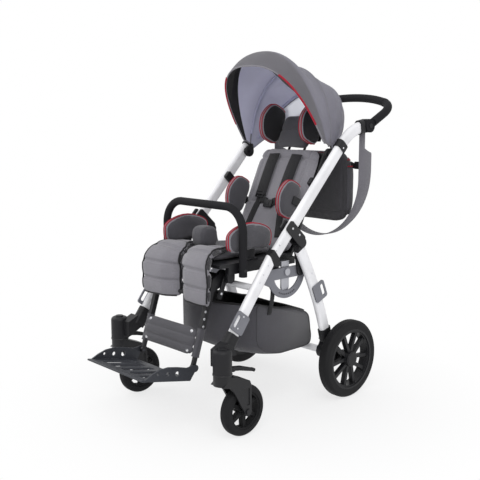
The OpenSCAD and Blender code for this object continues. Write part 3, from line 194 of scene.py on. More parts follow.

# %% [markdown]
# ## Cloth finishes
# The covers are a melange: dark and light threads spun together. A picture of cloth would need UV maps, which the
# remeshed pads don't have. Instead a gyroid, a wavy lattice made from sines and cosines of the place itself, gives a
# thread pattern in solid space that wraps every shape alike. Two noises add the flecks and broad shading, and the
# Sheen socket gives the soft pale rim that fibres have. Thin hood cloth also lets some light through, which a
# Translucent shader mixed in gives. The lining is also painted paler than its cloth: painted light for the light that
# comes through the hood.

# %% Recipe for cloth
def cloth_finish(name, colour, fleck, pitch=1.2, weave=0.5, fleck_share=0.4, sheen=0.3, wrinkle=0.15, rough=0.88):
    mat = new_finish(name, colour, rough, Sheen_Weight=sheen, Sheen_Roughness=0.45)
    spot = node(mat, "TexCoord").outputs["Object"]
    turns = node(mat, "VectorMath", {"operation": "SCALE"}, i0=spot, Scale=2000 * math.pi / pitch).outputs[0]
    sines = node(mat, "VectorMath", {"operation": "SINE"}, i0=turns).outputs[0]
    cosines = node(mat, "SeparateXYZ", None,
                   i0=node(mat, "VectorMath", {"operation": "COSINE"}, i0=turns).outputs[0]).outputs
    swapped = node(mat, "CombineXYZ", None, X=cosines[1], Y=cosines[2], Z=cosines[0]).outputs[0]
    thread = node(mat, "VectorMath", {"operation": "DOT_PRODUCT"}, i0=sines, i1=swapped).outputs["Value"]
    flecks = node(mat, "TexNoise", None, Vector=spot, Scale=330.0, Detail=3.0, Roughness=0.7).outputs[0]
    cloud = node(mat, "TexNoise", None, Vector=spot, Scale=14.0, Detail=4.0).outputs[0]
    deep = tuple(v * 0.8 for v in colour)
    woven = blend_colours(mat, ramp(mat, thread, -1.2, 0.9, 1 - weave, 1), deep, colour)
    melange = blend_colours(mat, ramp(mat, flecks, 0.5, 0.75, 0, fleck_share), woven, fleck)
    shaded = blend_colours(mat, ramp(mat, cloud, 0.35, 0.7, 0, 0.25), melange, deep)
    to_shader(mat, "Base Color", shaded)
    creases = node(mat, "Bump", None, Strength=wrinkle, Distance=0.004, Height=cloud).outputs[0]
    bump = node(mat, "Bump", None, Strength=0.35, Distance=0.0005, Height=thread, Normal=creases)
    to_shader(mat, "Normal", bump.outputs[0])
    return mat


def mix_in(mat, share, second):
    tree = mat.node_tree
    both = node(mat, "MixShader", None, i0=share, i1=tree.nodes["Principled BSDF"].outputs[0], i2=second)
    tree.links.new(both.outputs[0], tree.nodes["Material Output"].inputs[0])
    return mat


def let_light_through(mat, share, colour):
    return mix_in(mat, share, node(mat, "BsdfTranslucent", None, Color=(*linear(*colour), 1)).outputs[0])


grey_melange = cloth_finish("grey_melange", (136, 134, 141), (176, 175, 182))
dark_melange = cloth_finish("dark_melange", (74, 73, 79), (106, 105, 112))
strap_melange = cloth_finish("strap_melange", (112, 110, 118), (144, 143, 150))
side_cloth = cloth_finish("dark_side_cloth", (46, 45, 50), (70, 69, 75), fleck_share=0.3)
black_cloth = cloth_finish("black_soft_cloth", (21, 20, 24), (36, 35, 40), fleck_share=0.25, sheen=0.1)
webbing = cloth_finish("black_webbing", (23, 23, 26), (42, 42, 46), pitch=2.2, weave=0.8, sheen=0.1)
edge_tape = cloth_finish("pale_edge_tape", (128, 128, 134), (160, 160, 166), pitch=1.6, weave=0.7)
red_piping = cloth_finish("red_piping", (170, 15, 44), (192, 38, 64), pitch=1.4, weave=0.5, fleck_share=0.2, sheen=0.1)
hood_cloth = let_light_through(cloth_finish("grey_hood_cloth", (134, 132, 139), (172, 171, 178), wrinkle=0.25), 0.38,
                              (210, 208, 216))
# The lining's colour is painted paler than its cloth: painted light that stands in for light coming through the hood.
lining = let_light_through(cloth_finish("lavender_lining", (222, 223, 244), (234, 234, 250), pitch=0.9, weave=0.25,
                                        fleck_share=0.15, sheen=0.15, wrinkle=0.35, rough=0.7), 0.45, (224, 225, 244))
pale_panel = let_light_through(cloth_finish("pale_rear_panel", (240, 242, 250), (247, 248, 253), pitch=0.9, weave=0.2,
                                            fleck_share=0.15, sheen=0.15), 0.6, (240, 242, 250))
print("cloth finishes:", [m.name for m in (grey_melange, dark_melange, strap_melange, side_cloth, black_cloth, webbing,
                                           edge_tape, red_piping, hood_cloth, lining, pale_panel)])

# %% [markdown]
# ## Finishes on the CAD parts
# Each CAD part names a material slot in its record, so the finish can be looked up by slot. The parts that need
# another finish than their slot's are named one by one.

# %% Put the finishes on the CAD parts
by_slot = {"white_paint": white_powder, "grey_paint": grey_plate, "steel": brushed_steel, "grey_cloth": grey_melange,
           "dark_cloth": dark_melange, "webbing": webbing, "tyre": tyre_rubber, "foam_grip": grip_foam,
           "black_paint": black_paint, "black_plastic": black_plastic}
by_name = {"foot_hangers": black_paint, "footplate": foot_plastic}
for part in frame["record"]["subparts"]:
    mesh = frame["nodes"][part["node"]].data
    mesh.materials.clear()
    mesh.materials.append(by_name.get(part["node"], by_slot[part["material_slot"]]))

# %% [markdown]
# ## Floor, backdrop and light
# The photograph has a white background. The floor is a plain pale sheet that takes the shadow near the wheels and
# fades to pure white further out, seen only by the camera and by mirrors. The world is white for the camera and a
# softer grey as light, and two large lamps give the plain light of a studio.

# %% Studio
def seen_directly(mat):
    paths = node(mat, "LightPath").outputs
    seen = paths["Is Camera Ray"]
    for kind in ("Is Glossy Ray", "Is Transmission Ray"):
        seen = node(mat, "Math", {"operation": "MAXIMUM"}, i0=seen, i1=paths[kind]).outputs[0]
    return seen


floor_mesh = bpy.data.meshes.new("studio_floor")
floor_mesh.from_pydata([(-9, -9, 0), (9, -9, 0), (9, 9, 0), (-9, 9, 0)], [], [(0, 1, 2, 3)])
floor = bpy.data.objects.new("studio_floor", floor_mesh)
floor.location.z = -0.0005
scene.collection.objects.link(floor)
floor_finish = new_finish("floor_paper", (246, 246, 247), 0.95)
reach = node(floor_finish, "VectorMath", {"operation": "LENGTH"}, i0=node(floor_finish, "TexCoord").outputs["Object"])
far = ramp(floor_finish, reach.outputs["Value"], 0.3, 0.95, 0.7)
share = node(floor_finish, "Math", {"operation": "MULTIPLY"}, i0=far, i1=seen_directly(floor_finish)).outputs[0]
floor_mesh.materials.append(mix_in(floor_finish, share, node(floor_finish, "Emission", None, Strength=1.0).outputs[0]))

world = bpy.data.worlds.new("studio_white")
world.use_nodes = True
scene.world = world
level = ramp(world, seen_directly(world), 0, 1, 0.62, 1.0)
world.node_tree.links.new(level, world.node_tree.nodes["Background"].inputs["Strength"])
world.node_tree.nodes["Background"].inputs["Color"].default_value = (1, 1, 1, 1)

for name, spot, size, watts in (("key_lamp", (1.9, -1.6, 2.6), 2.2, 46), ("fill_lamp", (-2.2, -1.2, 2.2), 2.4, 24)):
    lamp = bpy.data.lights.new(name, "AREA")
    lamp.size = size
    lamp.energy = watts
    holder = bpy.data.objects.new(name, lamp)
    holder.location = spot
    holder.rotation_euler = (Vector((0, 0, 0.6)) - holder.location).to_track_quat("-Z", "Y").to_euler()
    scene.collection.objects.link(holder)
print("studio: floor, white world and two lamps")

# %% [markdown]
# ## How the soft pieces are made
# A pad starts as a loft: closed rings of points, joined by faces. Blender could inflate it with a brush by hand, but a
# script needs something it can repeat, so the loft is remeshed to an even skin and blown up for twenty frames with
# Cloth pressure. A cap keeps any point from moving too far. Seams come after that, because the remesh would lose them.

# %% Helpers: pieces, lofts and swelling
def new_piece(name, points, faces, *finishes):
    mesh = bpy.data.meshes.new(name)
    mesh.from_pydata([tuple(p) for p in points], [], faces)
    shell = bmesh.new()
    shell.from_mesh(mesh)
    bmesh.ops.recalc_face_normals(shell, faces=shell.faces)
    shell.to_mesh(mesh)
    shell.free()
    mesh.shade_smooth()
    for finish in finishes:
        mesh.materials.append(finish)
    piece = bpy.data.objects.new(name, mesh)
    scene.collection.objects.link(piece)
    return piece


def ring_faces(rows, count, capped=True):
    faces = [(i * count + j, i * count + (j + 1) % count, (i + 1) * count + (j + 1) % count, (i + 1) * count + j)
             for i in range(rows - 1) for j in range(count)]
    if capped:
        faces += [tuple(range(count)), tuple(range((rows - 1) * count, rows * count))]
    return faces


def loft(name, rings, *finishes, capped=True):
    return new_piece(name, [p for ring in rings for p in ring], ring_faces(len(rings), len(rings[0]), capped),
                     *finishes)


def sheet_faces(rows, cols):
    return [(i * cols + j, i * cols + j + 1, (i + 1) * cols + j + 1, (i + 1) * cols + j)
            for i in range(rows - 1) for j in range(cols - 1)]


def soft_ring(count, square, shift=0.5):
    for k in range(count):
        a = 2 * math.pi * (k + shift) / count
        yield tuple(math.copysign(abs(f) ** square, f) for f in (math.cos(a), math.sin(a)))


def final_mesh(piece):
    return bpy.data.meshes.new_from_object(piece.evaluated_get(bpy.context.evaluated_depsgraph_get()))


def settle(piece):
    mesh = final_mesh(piece)
    old = piece.data
    piece.modifiers.clear()
    piece.data = mesh
    bpy.data.meshes.remove(old)
    mesh.shade_smooth()


def read_points(mesh):
    points = np.zeros(len(mesh.vertices) * 3)
    mesh.vertices.foreach_get("co", points)
    return points.reshape(-1, 3)


def swell(piece, voxel=0.005, most=0.005, pressure=4.0, finer=1):
    remesh = piece.modifiers.new("even_skin", "REMESH")
    remesh.mode, remesh.voxel_size = "VOXEL", voxel
    relax = piece.modifiers.new("relax", "SMOOTH")
    relax.factor, relax.iterations = 0.5, 6
    settle(piece)
    start = read_points(piece.data)
    air = piece.modifiers.new("air", "CLOTH").settings
    air.use_pressure, air.uniform_pressure_force, air.effector_weights.gravity = True, pressure, 0
    for step in range(1, 21):
        scene.frame_set(step)
    blown = piece.evaluated_get(bpy.context.evaluated_depsgraph_get()).to_mesh()
    move = read_points(blown) - start
    move *= np.minimum(1, most / np.maximum(np.linalg.norm(move, axis=1), 1e-9))[:, None]
    piece.modifiers.clear()
    piece.data.vertices.foreach_set("co", (start + move).ravel())
    scene.frame_set(1)
    relax = piece.modifiers.new("relax", "SMOOTH")
    relax.factor, relax.iterations = 0.5, 4
    if finer:
        piece.modifiers.new("finer", "SUBSURF").levels = finer
    settle(piece)


print("soft helpers ready; simulation", "on")

# %% [markdown]
# ## Seams, piping and stitches
# A sewn channel is a valley pressed into the swollen skin: each point sinks along its normal by how near it is to the
# seam. Piping is a cord in a cloth sleeve, so it is a round curve laid on the skin with the nearest-point search of a
# BVH tree. Stitches are tiny spindles set along the same lines.

# %% Helpers: seams, piping and stitches
def normals_of(mesh):
    normals = np.zeros(len(mesh.vertices) * 3)
    mesh.vertices.foreach_get("normal", normals)
    return normals.reshape(-1, 3)


def sew(piece, distance, deep=0.004, wide=0.005, puff=0.0):
    points = read_points(piece.data)
    away = distance(points)
    valley = -deep * np.exp(-(away / wide) ** 2) + puff * (1 - np.exp(-(away / (3 * wide)) ** 2))
    piece.data.vertices.foreach_set("co", (points + valley[:, None] * normals_of(piece.data)).ravel())
    piece.data.update()


def skin_of(piece):
    return BVHTree.FromPolygons([v.co for v in piece.data.vertices], [p.vertices for p in piece.data.polygons])


def lay_on(skin, points, lift=0.0):
    laid = []
    for point in points:
        spot, normal, _, _ = skin.find_nearest(Vector(point))
        laid.append(spot + normal * lift)
    return laid


def cord_piece(name, lines, finish, thick=0.0022, closed=False):
    curve = bpy.data.curves.new(name, "CURVE")
    curve.dimensions, curve.bevel_depth, curve.bevel_resolution = "3D", thick, 2
    curve.use_fill_caps = True
    for line in lines:
        spline = curve.splines.new("POLY")
        spline.points.add(len(line) - 1)
        for spot, point in zip(spline.points, line):
            spot.co = (*point, 1)
        spline.use_cyclic_u = closed
        spline.use_smooth = True
    curve.materials.append(finish)
    piece = bpy.data.objects.new(name, curve)
    scene.collection.objects.link(piece)
    return piece


def run_of(points):
    return np.concatenate([[0], np.cumsum(np.linalg.norm(np.diff(points, axis=0), axis=1))])


def directions(spots):
    return [(b - a).normalized() for a, b in zip(spots[:1] + spots[:-1], spots[1:] + spots[-1:])]


def even_line(points, step):
    points = np.array([tuple(p) for p in points])
    run = run_of(points)
    spots = np.arange(0, run[-1], step)
    return [Vector(np.array([np.interp(s, run, points[:, k]) for k in range(3)])) for s in spots]


def stitch_piece(name, skin, lines, finish, pitch=0.0065, length=0.0042, thick=0.0007):
    points, faces = [], []
    for line in lines:
        spots = even_line(line, pitch)
        for here, there in zip(spots, spots[1:]):
            spot, normal, _, _ = skin.find_nearest(here)
            along = (there - here).normalized()
            across = normal.cross(along).normalized()
            base = len(points)
            points += [spot - along * length / 2, spot + across * thick, spot + normal * thick * 1.5,
                       spot - across * thick, spot - normal * thick, spot + along * length / 2]
            faces += [(base + k, base + 1 + i, base + 1 + (i + 1) % 4) for k in (0, 5) for i in range(4)]
    return new_piece(name, points, faces, finish)


def twin(piece, name):
    other = piece.copy()
    other.data = piece.data.copy()
    other.name = other.data.name = name
    other.data.transform(Matrix.Diagonal((-1, 1, 1, 1)))
    if other.type == "MESH":
        other.data.flip_normals()
    scene.collection.objects.link(other)
    return other


print("sewing helpers ready")

# %% [markdown]
# ## Side pads
# Head, trunk and hip pads are D-shaped foam blocks: two faces, a band between them and red piping along both edges of
# the band. Each is drawn flat as an outline that shrinks towards both faces, then placed with a matrix whose columns
# are the pad's own width, height and thickness. The right pads are mirrored copies of the left ones.

# %% Helpers: the D-shaped pad
def ease(t, power):
    return max(0.0, 1 - abs(t) ** power) ** (1 / power)


def d_outline(width, height, steps=30):
    side = [(width / 2 * ease(0.985 * (2 * u - 1), 4) * ease(0.97 * max(0, 2.2 * u - 1.2), 2), height * u)
            for u in (i / steps for i in range(steps + 1))]
    return side + [(-a, b) for a, b in reversed(side)]


upright = (1, 0, 0), (0, 1, 0), (0, 0, 1)


def frame_at(origin, *columns):
    grid = Matrix.Identity(4)
    for k, column in enumerate(columns):
        for i in range(3):
            grid[i][k] = column[i] / 1000
    grid.translation = origin
    return grid


pad_profile = [(0.06, 0.9), (0.4, 0.95), (0.7, 0.93), (0.87, 0.85), (0.95, 0.72), (0.985, 0.5), (1, 0.2), (1, -0.2),
               (0.985, -0.5), (0.95, -0.72), (0.87, -0.85), (0.7, -0.93), (0.4, -0.95), (0.06, -0.9)]


def d_pad(name, grid, width, height, thick, most=0.0045, voxel=0.0042, band=0.55):
    outline = d_outline(width - 4, height - 4)
    mid = 0.47 * height
    rings = [[grid @ Vector((a * s, 2 + mid + (b - mid) * s, c * (thick / 2 - 2))) for a, b in outline]
             for s, c in pad_profile]
    pad = loft(name, rings, side_cloth, grey_melange, black_cloth)
    swell(pad, voxel, most)
    back_in = grid.inverted()
    edge = band * thick / 2

    def from_seam(points):
        depth = np.array([(back_in @ Vector(p)).z for p in points])
        return np.abs(np.abs(depth) - edge) / 1000

    sew(pad, from_seam, deep=0.0018, wide=0.004)
    skin = skin_of(pad)
    rim = d_outline(width + 6, height + 6, 60)[6:-6]
    lines = [lay_on(skin, [grid @ Vector((a, b, c)) for a, b in rim], 0.0008) for c in (-edge, edge)]
    for face in pad.data.polygons:
        depth = (back_in @ face.center).z
        face.material_index = 2 if depth > edge else (1 if abs(depth) <= edge else 0)
    return pad, cord_piece(name + "_piping", lines, red_piping, 0.0021)


def rides(body, slot, *pieces):
    for piece in pieces:
        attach(piece, body)


def ride_pair(left, name, body, node_name, slot="grey_cloth"):
    pair = [left, twin(left, "right_" + name)]
    for piece, side in zip(pair, ("left_", "right_")):
        rides(body.replace("SIDE_", side), slot, piece)
        if node_name:
            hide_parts(node_name.replace("SIDE_", side))
    return pair


print("D outline of a 150 by 126 mm pad has", len(d_outline(150, 126)), "points")

# %% [markdown]
# ## Backrest frame of reference
# The backrest leans back by 25 degrees. Its pieces are easier to place in its own upright frame, with X across, Y
# towards the rear and Z up the back from the recline pivot.

# %% The leaning frame
lean = math.radians(25)
on_back = frame_at(place(0, -195, 528), (1, 0, 0), (0, math.cos(lean), -math.sin(lean)),
                   (0, math.sin(lean), math.cos(lean)))


def back_frame_of(origin, *columns):
    return on_back @ frame_at(Vector(origin), *[[1000 * v for v in column] for column in columns])


print("top of the back at", [round(v, 3) for v in on_back @ Vector((0, 0, 414))])

# %% [markdown]
# ## Head pads and trunk pads
# The two head wings close round the sides of the head, black on both faces, and the two trunk pads hold the
# chest. Both stand forward from the backrest, so their height axis points to the front.

# %% Head wings and trunk pads
left_wing, wing_piping = d_pad("left_head_wing", back_frame_of((102, 25, 515), (0, 0, 1), (0, -1, 0), (-1, 0, 0)),
                               150, 126, 36)
left_trunk, trunk_piping = d_pad("left_trunk_cushion", back_frame_of((133, -14, 205), (0, 0, 1), (0, -1, 0),
                                                                      (-1, 0, 0)), 140, 108, 36)
left_trunk.data.materials[0] = left_trunk.data.materials[2] = dark_melange
left_wing.data.materials[0] = black_cloth
print("wing", len(left_wing.data.vertices), "points, trunk pad", len(left_trunk.data.vertices))

# %% [markdown]
# ## Hip pads
# A hip pad stands upright on the seat board beside each thigh: width along the seat, height upwards.

# %% Hip pads
left_hip, hip_piping = d_pad("left_hip_cushion", frame_at(place(168.5, -395, 577), (0, 1, 0), (0, 0, 1), (-1, 0, 0)),
                             210, 104, 33)
left_hip.data.materials[0] = left_hip.data.materials[2] = dark_melange
print("hip pad", len(left_hip.data.vertices), "points")

# %% [markdown]
# The CAD solids of these pads also hold their small carriers, so the carriers are made again as bevelled blocks: a foot
# under each hip pad and an angled bar behind each trunk pad.

# %% Carriers of the hip and trunk pads
def block(name, grid, low, high, finish, soft=0.0012):
    corners = [(x, y, z) for x in (low[0], high[0]) for y in (low[1], high[1]) for z in (low[2], high[2])]
    piece = new_piece(name, [grid @ Vector(c) for c in corners],
                      [(0, 1, 3, 2), (4, 6, 7, 5), (0, 4, 5, 1), (2, 3, 7, 6), (0, 2, 6, 4), (1, 5, 7, 3)], finish)
    edge = piece.modifiers.new("soft_edges", "BEVEL")
    edge.width, edge.segments = soft, 2
    settle(piece)
    return piece


def join_into(first, *others):
    pieces = [first, *others]
    merged = bmesh.new()
    finishes = []
    for piece in pieces:
        start = len(merged.faces)
        merged.from_mesh(piece.data)
        merged.faces.ensure_lookup_table()
        for face in merged.faces[start:]:
            finish = piece.data.materials[min(face.material_index, len(piece.data.materials) - 1)]
            if finish not in finishes:
                finishes.append(finish)
            face.material_index = finishes.index(finish)
    picked = [face.material_index for face in merged.faces]
    merged.to_mesh(first.data)
    merged.free()
    first.data.materials.clear()
    for finish in finishes:
        first.data.materials.append(finish)
    first.data.polygons.foreach_set("material_index", picked)
    for piece in others:
        bpy.data.objects.remove(piece)
    return first


def join_as(name, *pieces):
    joined = join_into(*pieces)
    joined.name = name
    return joined


drawing = frame_at(place(0, 0, 0), *upright)
hip_foot = join_into(block("left_hip_foot", drawing, (159.5, -415, 552.3), (177.5, -375, 600), black_plastic, 0.002),
                     block("hip_foot_toe", drawing, (156, -425, 552.3), (181, -365, 558), black_plastic))
trunk_bar = join_into(block("left_trunk_bar", on_back, (151.3, -60, 190), (157, 40.3, 220), black_paint),
                      block("trunk_bar_foot", on_back, (101.5, 36.5, 190), (157, 40.3, 220), black_paint))
head_wings = ride_pair(left_wing, "head_wing", "head", None)
ride_pair(wing_piping, "head_wing_piping", "head", None)
for left, name, body, node_name in ((left_trunk, "trunk_cushion", "SIDE_trunk", "SIDE_trunk_pad"),
                                    (left_hip, "hip_cushion", "SIDE_hip", "SIDE_hip_pad"),
                                    (trunk_piping, "trunk_cushion_piping", "SIDE_trunk", None),
                                    (hip_piping, "hip_cushion_piping", "SIDE_hip", None),
                                    (hip_foot, "hip_foot", "SIDE_hip", None),
                                    (trunk_bar, "trunk_bar", "SIDE_trunk", None)):
    ride_pair(left, name, body, node_name, "black_plastic" if "foot" in name or "bar" in name else "grey_cloth")
print("six side pads with piping and carriers")

# %% [markdown]
# ## Cushions
# A cushion is a row of rounded rings from one end to the other, full in the middle and drawn in at its ends. The back
# cushion, the head cushion, the seat base and the pommel differ only in their sizes, so one helper makes them all.
# Its local axes are: across, along, and out of the face that the child leans on.

# %% Helper: the cushion
def cushion(name, grid, width, length, thick, crown, finish, voxel=0.005, most=0.004, square=0.5, pull=0.03, rows=26,
            ends=5):
    rings = []
    for i in range(rows + 1):
        u = (1 - math.cos(math.pi * i / rows)) / 2
        t = 2 * u - 1
        half = (width / 2 - 2) * ease(0.985 * t, ends) * (1 - pull * (1 - t * t))
        top = (thick / 2 - 1 + crown * (1 - t * t)) * ease(0.985 * t, ends - 2)
        low = (thick / 2 - 1) * ease(0.985 * t, ends - 2)
        rings.append([grid @ Vector((half * c, 2 + (length - 4) * u, s * (top if s > 0 else low)))
                      for c, s in soft_ring(48, square)])
    piece = loft(name, rings, finish, side_cloth)
    swell(piece, voxel, most)
    return piece


def local_of(grid, points):
    back_in = np.array(grid.inverted())
    return points @ back_in[:3, :3].T + back_in[:3, 3]


print("cushion helper ready")

# %% [markdown]
# ## Back cushion
# The back cushion has a flat middle between two raised side rolls, a seam at the waist and another below the top edge.
# The rolls come from two long valleys sewn into the swollen form.

# %% Back cushion
back_grid = back_frame_of((0, 13.2, 22), (1, 0, 0), (0, 0, 1), (0, -1, 0))
back_pad = cushion("back_cushion_cover", back_grid, 312, 408, 29, 9, grey_melange, voxel=0.006, ends=9)


roll_x, waist_seams = 112, (178, 362)


def back_seams(points):
    spot = local_of(back_grid, points)
    behind = np.where(spot[:, 2] > 0, 0, 1)
    lines = [np.abs(np.abs(spot[:, 0]) - roll_x)] + [np.abs(spot[:, 1] - seam) for seam in waist_seams]
    return np.min(lines, axis=0) / 1000 + behind


sew(back_pad, back_seams, deep=0.0045, wide=0.0055, puff=0.001)
back_skin = skin_of(back_pad)
for face in back_pad.data.polygons:
    if (back_grid.inverted() @ face.center).z < -6:
        face.material_index = 1
back_lines = [[back_grid @ Vector((s * roll_x + d, b, 30)) for b in range(20, 375, 6)]
              for s in (-1, 1) for d in (-4, 4)]
back_lines += [[back_grid @ Vector((a, b + d, 30)) for a in range(-106, 107, 6)] for b in waist_seams for d in (-4, 4)]
back_stitches = stitch_piece("back_cushion_stitches", back_skin, back_lines, edge_tape)
rides("back", "grey_cloth", back_pad, back_stitches)
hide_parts("back_cushion")
print("back cushion", len(back_pad.data.vertices), "points")

# %% [markdown]
# ## Head cushion
# Between the wings sits a small cushion with one channel across. One CAD part holds the cushion and both wings, so the
# cushion stands for it and the wings, made above, ride on the same body.

# %% Head cushion
head_grid = back_frame_of((0, 9, 431), (1, 0, 0), (0, 0, 1), (0, -1, 0))
# The head cushion takes the dark melange: painted shade for the hood's shadow on its grey cover.
head_pad = cushion("head_cushion", head_grid, 162, 134, 32, 6, dark_melange, ends=7)
sew(head_pad, lambda points: np.abs(local_of(head_grid, points)[:, 1] - 66) / 1000, deep=0.003, wide=0.005)
rides("head", "grey_cloth", head_pad)
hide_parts("headrest")
print("head cushion", len(head_pad.data.vertices), "points")

# %% [markdown]
# ## Seat base and pommel
# The seat base is a thin flat cushion on the board. The pommel, a block that keeps the knees apart, slides on a stem
# through the board; it is nearly square in section, so its rings are less round.

# %% Seat base and pommel
base_grid = frame_at(place(0, -543.5, 562.5), *upright)
seat_pad = cushion("seat_base_cover", base_grid, 278, 326, 20, 4, dark_melange, voxel=0.006, most=0.003)
pommel_grid = frame_at(place(0, -450, 581), (1, 0, 0), (0, 0, 1), (0, -1, 0))
pommel_pad = cushion("pommel_cover", pommel_grid, 78, 78, 76, 0, dark_melange, voxel=0.0045, most=0.003, square=0.4,
                     pull=0.02)


def pommel_seams(points):
    spot = local_of(pommel_grid, points)
    return np.abs(np.abs(spot[:, 0]) - 29) / 1000 + np.where(spot[:, 1] > 66, 0, 0.2 * (spot[:, 2] < 0))


sew(pommel_pad, pommel_seams, deep=0.002, wide=0.004)


def turned(name, grid, profile, finish, count=28):
    rings = [[grid @ Vector((r * math.cos(a), r * math.sin(a), h)) for a in
              (2 * math.pi * k / count for k in range(count))] for r, h in profile]
    return loft(name, rings, finish)


stem_grid = frame_at(place(0, -450, 0), *upright)
pommel_stem = turned("pommel_stem", stem_grid, [(6, 500), (8, 502), (8, 583), (17, 584), (17, 588), (8, 590)],
                     black_paint)
for piece, body, name in ((seat_pad, "seat", "seat_base"), (pommel_pad, "pommel_post", "pommel")):
    rides(body, "grey_cloth", piece)
    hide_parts(name)
rides("pommel_post", "black_paint", pommel_stem)
print("seat base and pommel made")

# %% [markdown]
# ## Thigh pads
# Each leg has a long quilted pad that lies on the seat, rolls over the front edge and hangs down the shin. Its middle
# line is a straight, a quarter circle and a straight, and rings stand on that line. It is thin at the rear, and its
# inner edge falls back like a bolster's. It crosses the knee joint between the seat and the legrest.

# %% Thigh pads: the loft along a bent line
pad_rear, roll_y, roll_r, pad_z, hang = -432, -518, 62, 586, 108
flat_run, roll_run = pad_rear - roll_y, roll_r * math.pi / 2
pad_run = flat_run + roll_run + hang


def pad_line(run):
    if run < flat_run:
        return pad_rear - run, pad_z, 0
    if run < flat_run + roll_run:
        a = (run - flat_run) / roll_r
        return roll_y - roll_r * math.sin(a), pad_z - roll_r * (1 - math.cos(a)), a
    return roll_y - roll_r, pad_z - roll_r - (run - flat_run - roll_run), math.pi / 2


def pad_sides(run):
    inner = 48 - 43 * min(1, max(0, (run - 40) / 50))
    return inner, 112 + 70 * min(1, run / (flat_run + roll_run))


def pad_spot(run, x, out):
    y, z, a = pad_line(run)
    hung = min(1, max(0, (run - flat_run + 10) / (roll_run + 10)))
    out -= 45 * hung * max(0, 1 - (abs(x) - 5) / 75) ** 1.5
    return place(x, y - out * math.sin(a), z + out * math.cos(a))


rings = []
for i in range(57):
    u = i / 56
    run, e = pad_run * u, ease(0.98 * (2 * u - 1), 4)
    inner, outer = pad_sides(run)
    mid, half = (inner + outer) / 2, ((outer - inner) / 2 - 1.5) * (0.7 + 0.3 * e)
    full = 15.5 * (0.35 + 0.65 * min(1, run / (flat_run + 20)))
    rings.append([pad_spot(run, mid + half * c, s * (full if s > 0 else 13.5) * max(0.25, e))
                  for c, s in soft_ring(40, 0.45)])
thigh_pad = loft("left_thigh_pad", rings, grey_melange, side_cloth)
swell(thigh_pad, 0.005, 0.003)
print("thigh pad", round(pad_run), "mm long,", len(thigh_pad.data.vertices), "points")

# %% Thigh pads: quilting, binding and the right copy
def run_along(points):
    y, z = (points[:, 1] - axle_y) * 1000, points[:, 2] * 1000
    angle = np.clip(np.arctan2(-(y - roll_y), z - (pad_z - roll_r)), 0, math.pi / 2)
    lying, hanging = pad_rear - y, flat_run + roll_run + (pad_z - roll_r) - z
    run = np.where(y > roll_y, lying, flat_run + angle * roll_r)
    return np.where((z < pad_z - roll_r) & (y <= roll_y), hanging, run)


channels = [pad_run * share for share in (0.2, 0.4, 0.6, 0.8)]
sew(thigh_pad, lambda points: np.min([np.abs(run_along(points) - c) for c in channels], axis=0) / 1000,
    deep=0.005, wide=0.006, puff=0.001)
for face in thigh_pad.data.polygons:
    inner, outer = pad_sides(float(np.clip(run_along(np.array([face.center]))[0], 0, pad_run)))
    face.material_index = 0 if inner + 5 <= face.center.x * 1000 <= outer - 7 else 1
thigh_skin = skin_of(thigh_pad)
edges = []
for pick, out in ((0, -2.45), (1, 2.45)):
    edges.append(lay_on(thigh_skin, [pad_spot(pad_run * k / 70, pad_sides(pad_run * k / 70)[pick] + out, 22)
                                     for k in range(2, 69)], 0.0006))
bottom = [pad_spot(pad_run * 0.995, 12 + 164 * k / 24, 15) for k in range(1, 24)]
edges.append(lay_on(thigh_skin, bottom, 0.0006))


def as_mesh(piece):
    name = piece.name
    solid = bpy.data.objects.new(name, final_mesh(piece))
    bpy.data.objects.remove(piece)
    solid.name = name
    scene.collection.objects.link(solid)
    return solid


binding = as_mesh(cord_piece("thigh_binding", edges, black_cloth, 0.0032))
quilt_lines = [[pad_spot(c + d, inner + (outer - inner) * k / 40, 22) for k in range(4, 37)]
               for c in channels for d in (-5, 5) for inner, outer in [pad_sides(c)]]
quilting = stitch_piece("thigh_stitches", thigh_skin, quilt_lines, dark_melange)
join_into(thigh_pad, binding, quilting)
right_thigh = twin(thigh_pad, "right_thigh_pad")
for piece in (thigh_pad, right_thigh):
    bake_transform(piece)
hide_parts("thigh_pads", "thigh_flaps")
print("quilted at", [round(c) for c in channels], "mm along the pad")

# %% [markdown]
# ## Harness
# The harness is flat webbing, which a remesh would swallow, so it is made directly: a rounded strip is laid along
# points on the cushion. The shoulder parts are wider and padded, with a pale tape along their edges.

# %% Harness
def strip(name, spots, across, normals, widths, thick, finish):
    rings = []
    for spot, side, normal, width in zip(spots, across, normals, widths):
        half, t = width / 2000, thick / 2000
        outline = [(-half, -0.5 * t), (-half, 0.5 * t), (-half + t, t), (half - t, t), (half, 0.5 * t),
                   (half, -0.5 * t), (half - t, -t), (-half + t, -t)]
        rings.append([spot + side * a + normal * b for a, b in outline])
    return loft(name, rings, finish)


def strip_on_back(name, path, widths, thick, finish, lift):
    rough = [on_back @ Vector((x, -20, z)) for x, z in path]
    laid = [back_skin.find_nearest(p) for p in rough]
    normals = [hit[1].lerp(on_back.to_3x3() @ Vector((0, -1000, 0)), 0.7).normalized() for hit in laid]
    spots = [hit[0] + n * lift for hit, n in zip(laid, normals)]
    across = [along.cross(n).normalized() for along, n in zip(directions(spots), normals)]
    return strip(name, spots, across, normals, widths, thick, finish), spots, across


def belt(side):
    upper = [(side * (58 - 4 * k / 24), 398 - 175 * k / 24) for k in range(25)]
    lower = [(side * (54 + 34 * k / 24), 236 - 166 * k / 24) for k in range(25)]
    padded, spots, across = strip_on_back("shoulder_pad", upper, [54] * 25, 9, black_cloth, 0.005)
    rims = [[s + a * w * 0.0268 for s, a in zip(spots, across)] for w in (-1, 1)]
    web, _, _ = strip_on_back("belt_web", lower, [30] * 25, 2.4, webbing, 0.0016)
    return [padded, web, as_mesh(cord_piece("belt_rims", rims, edge_tape, 0.0013))]


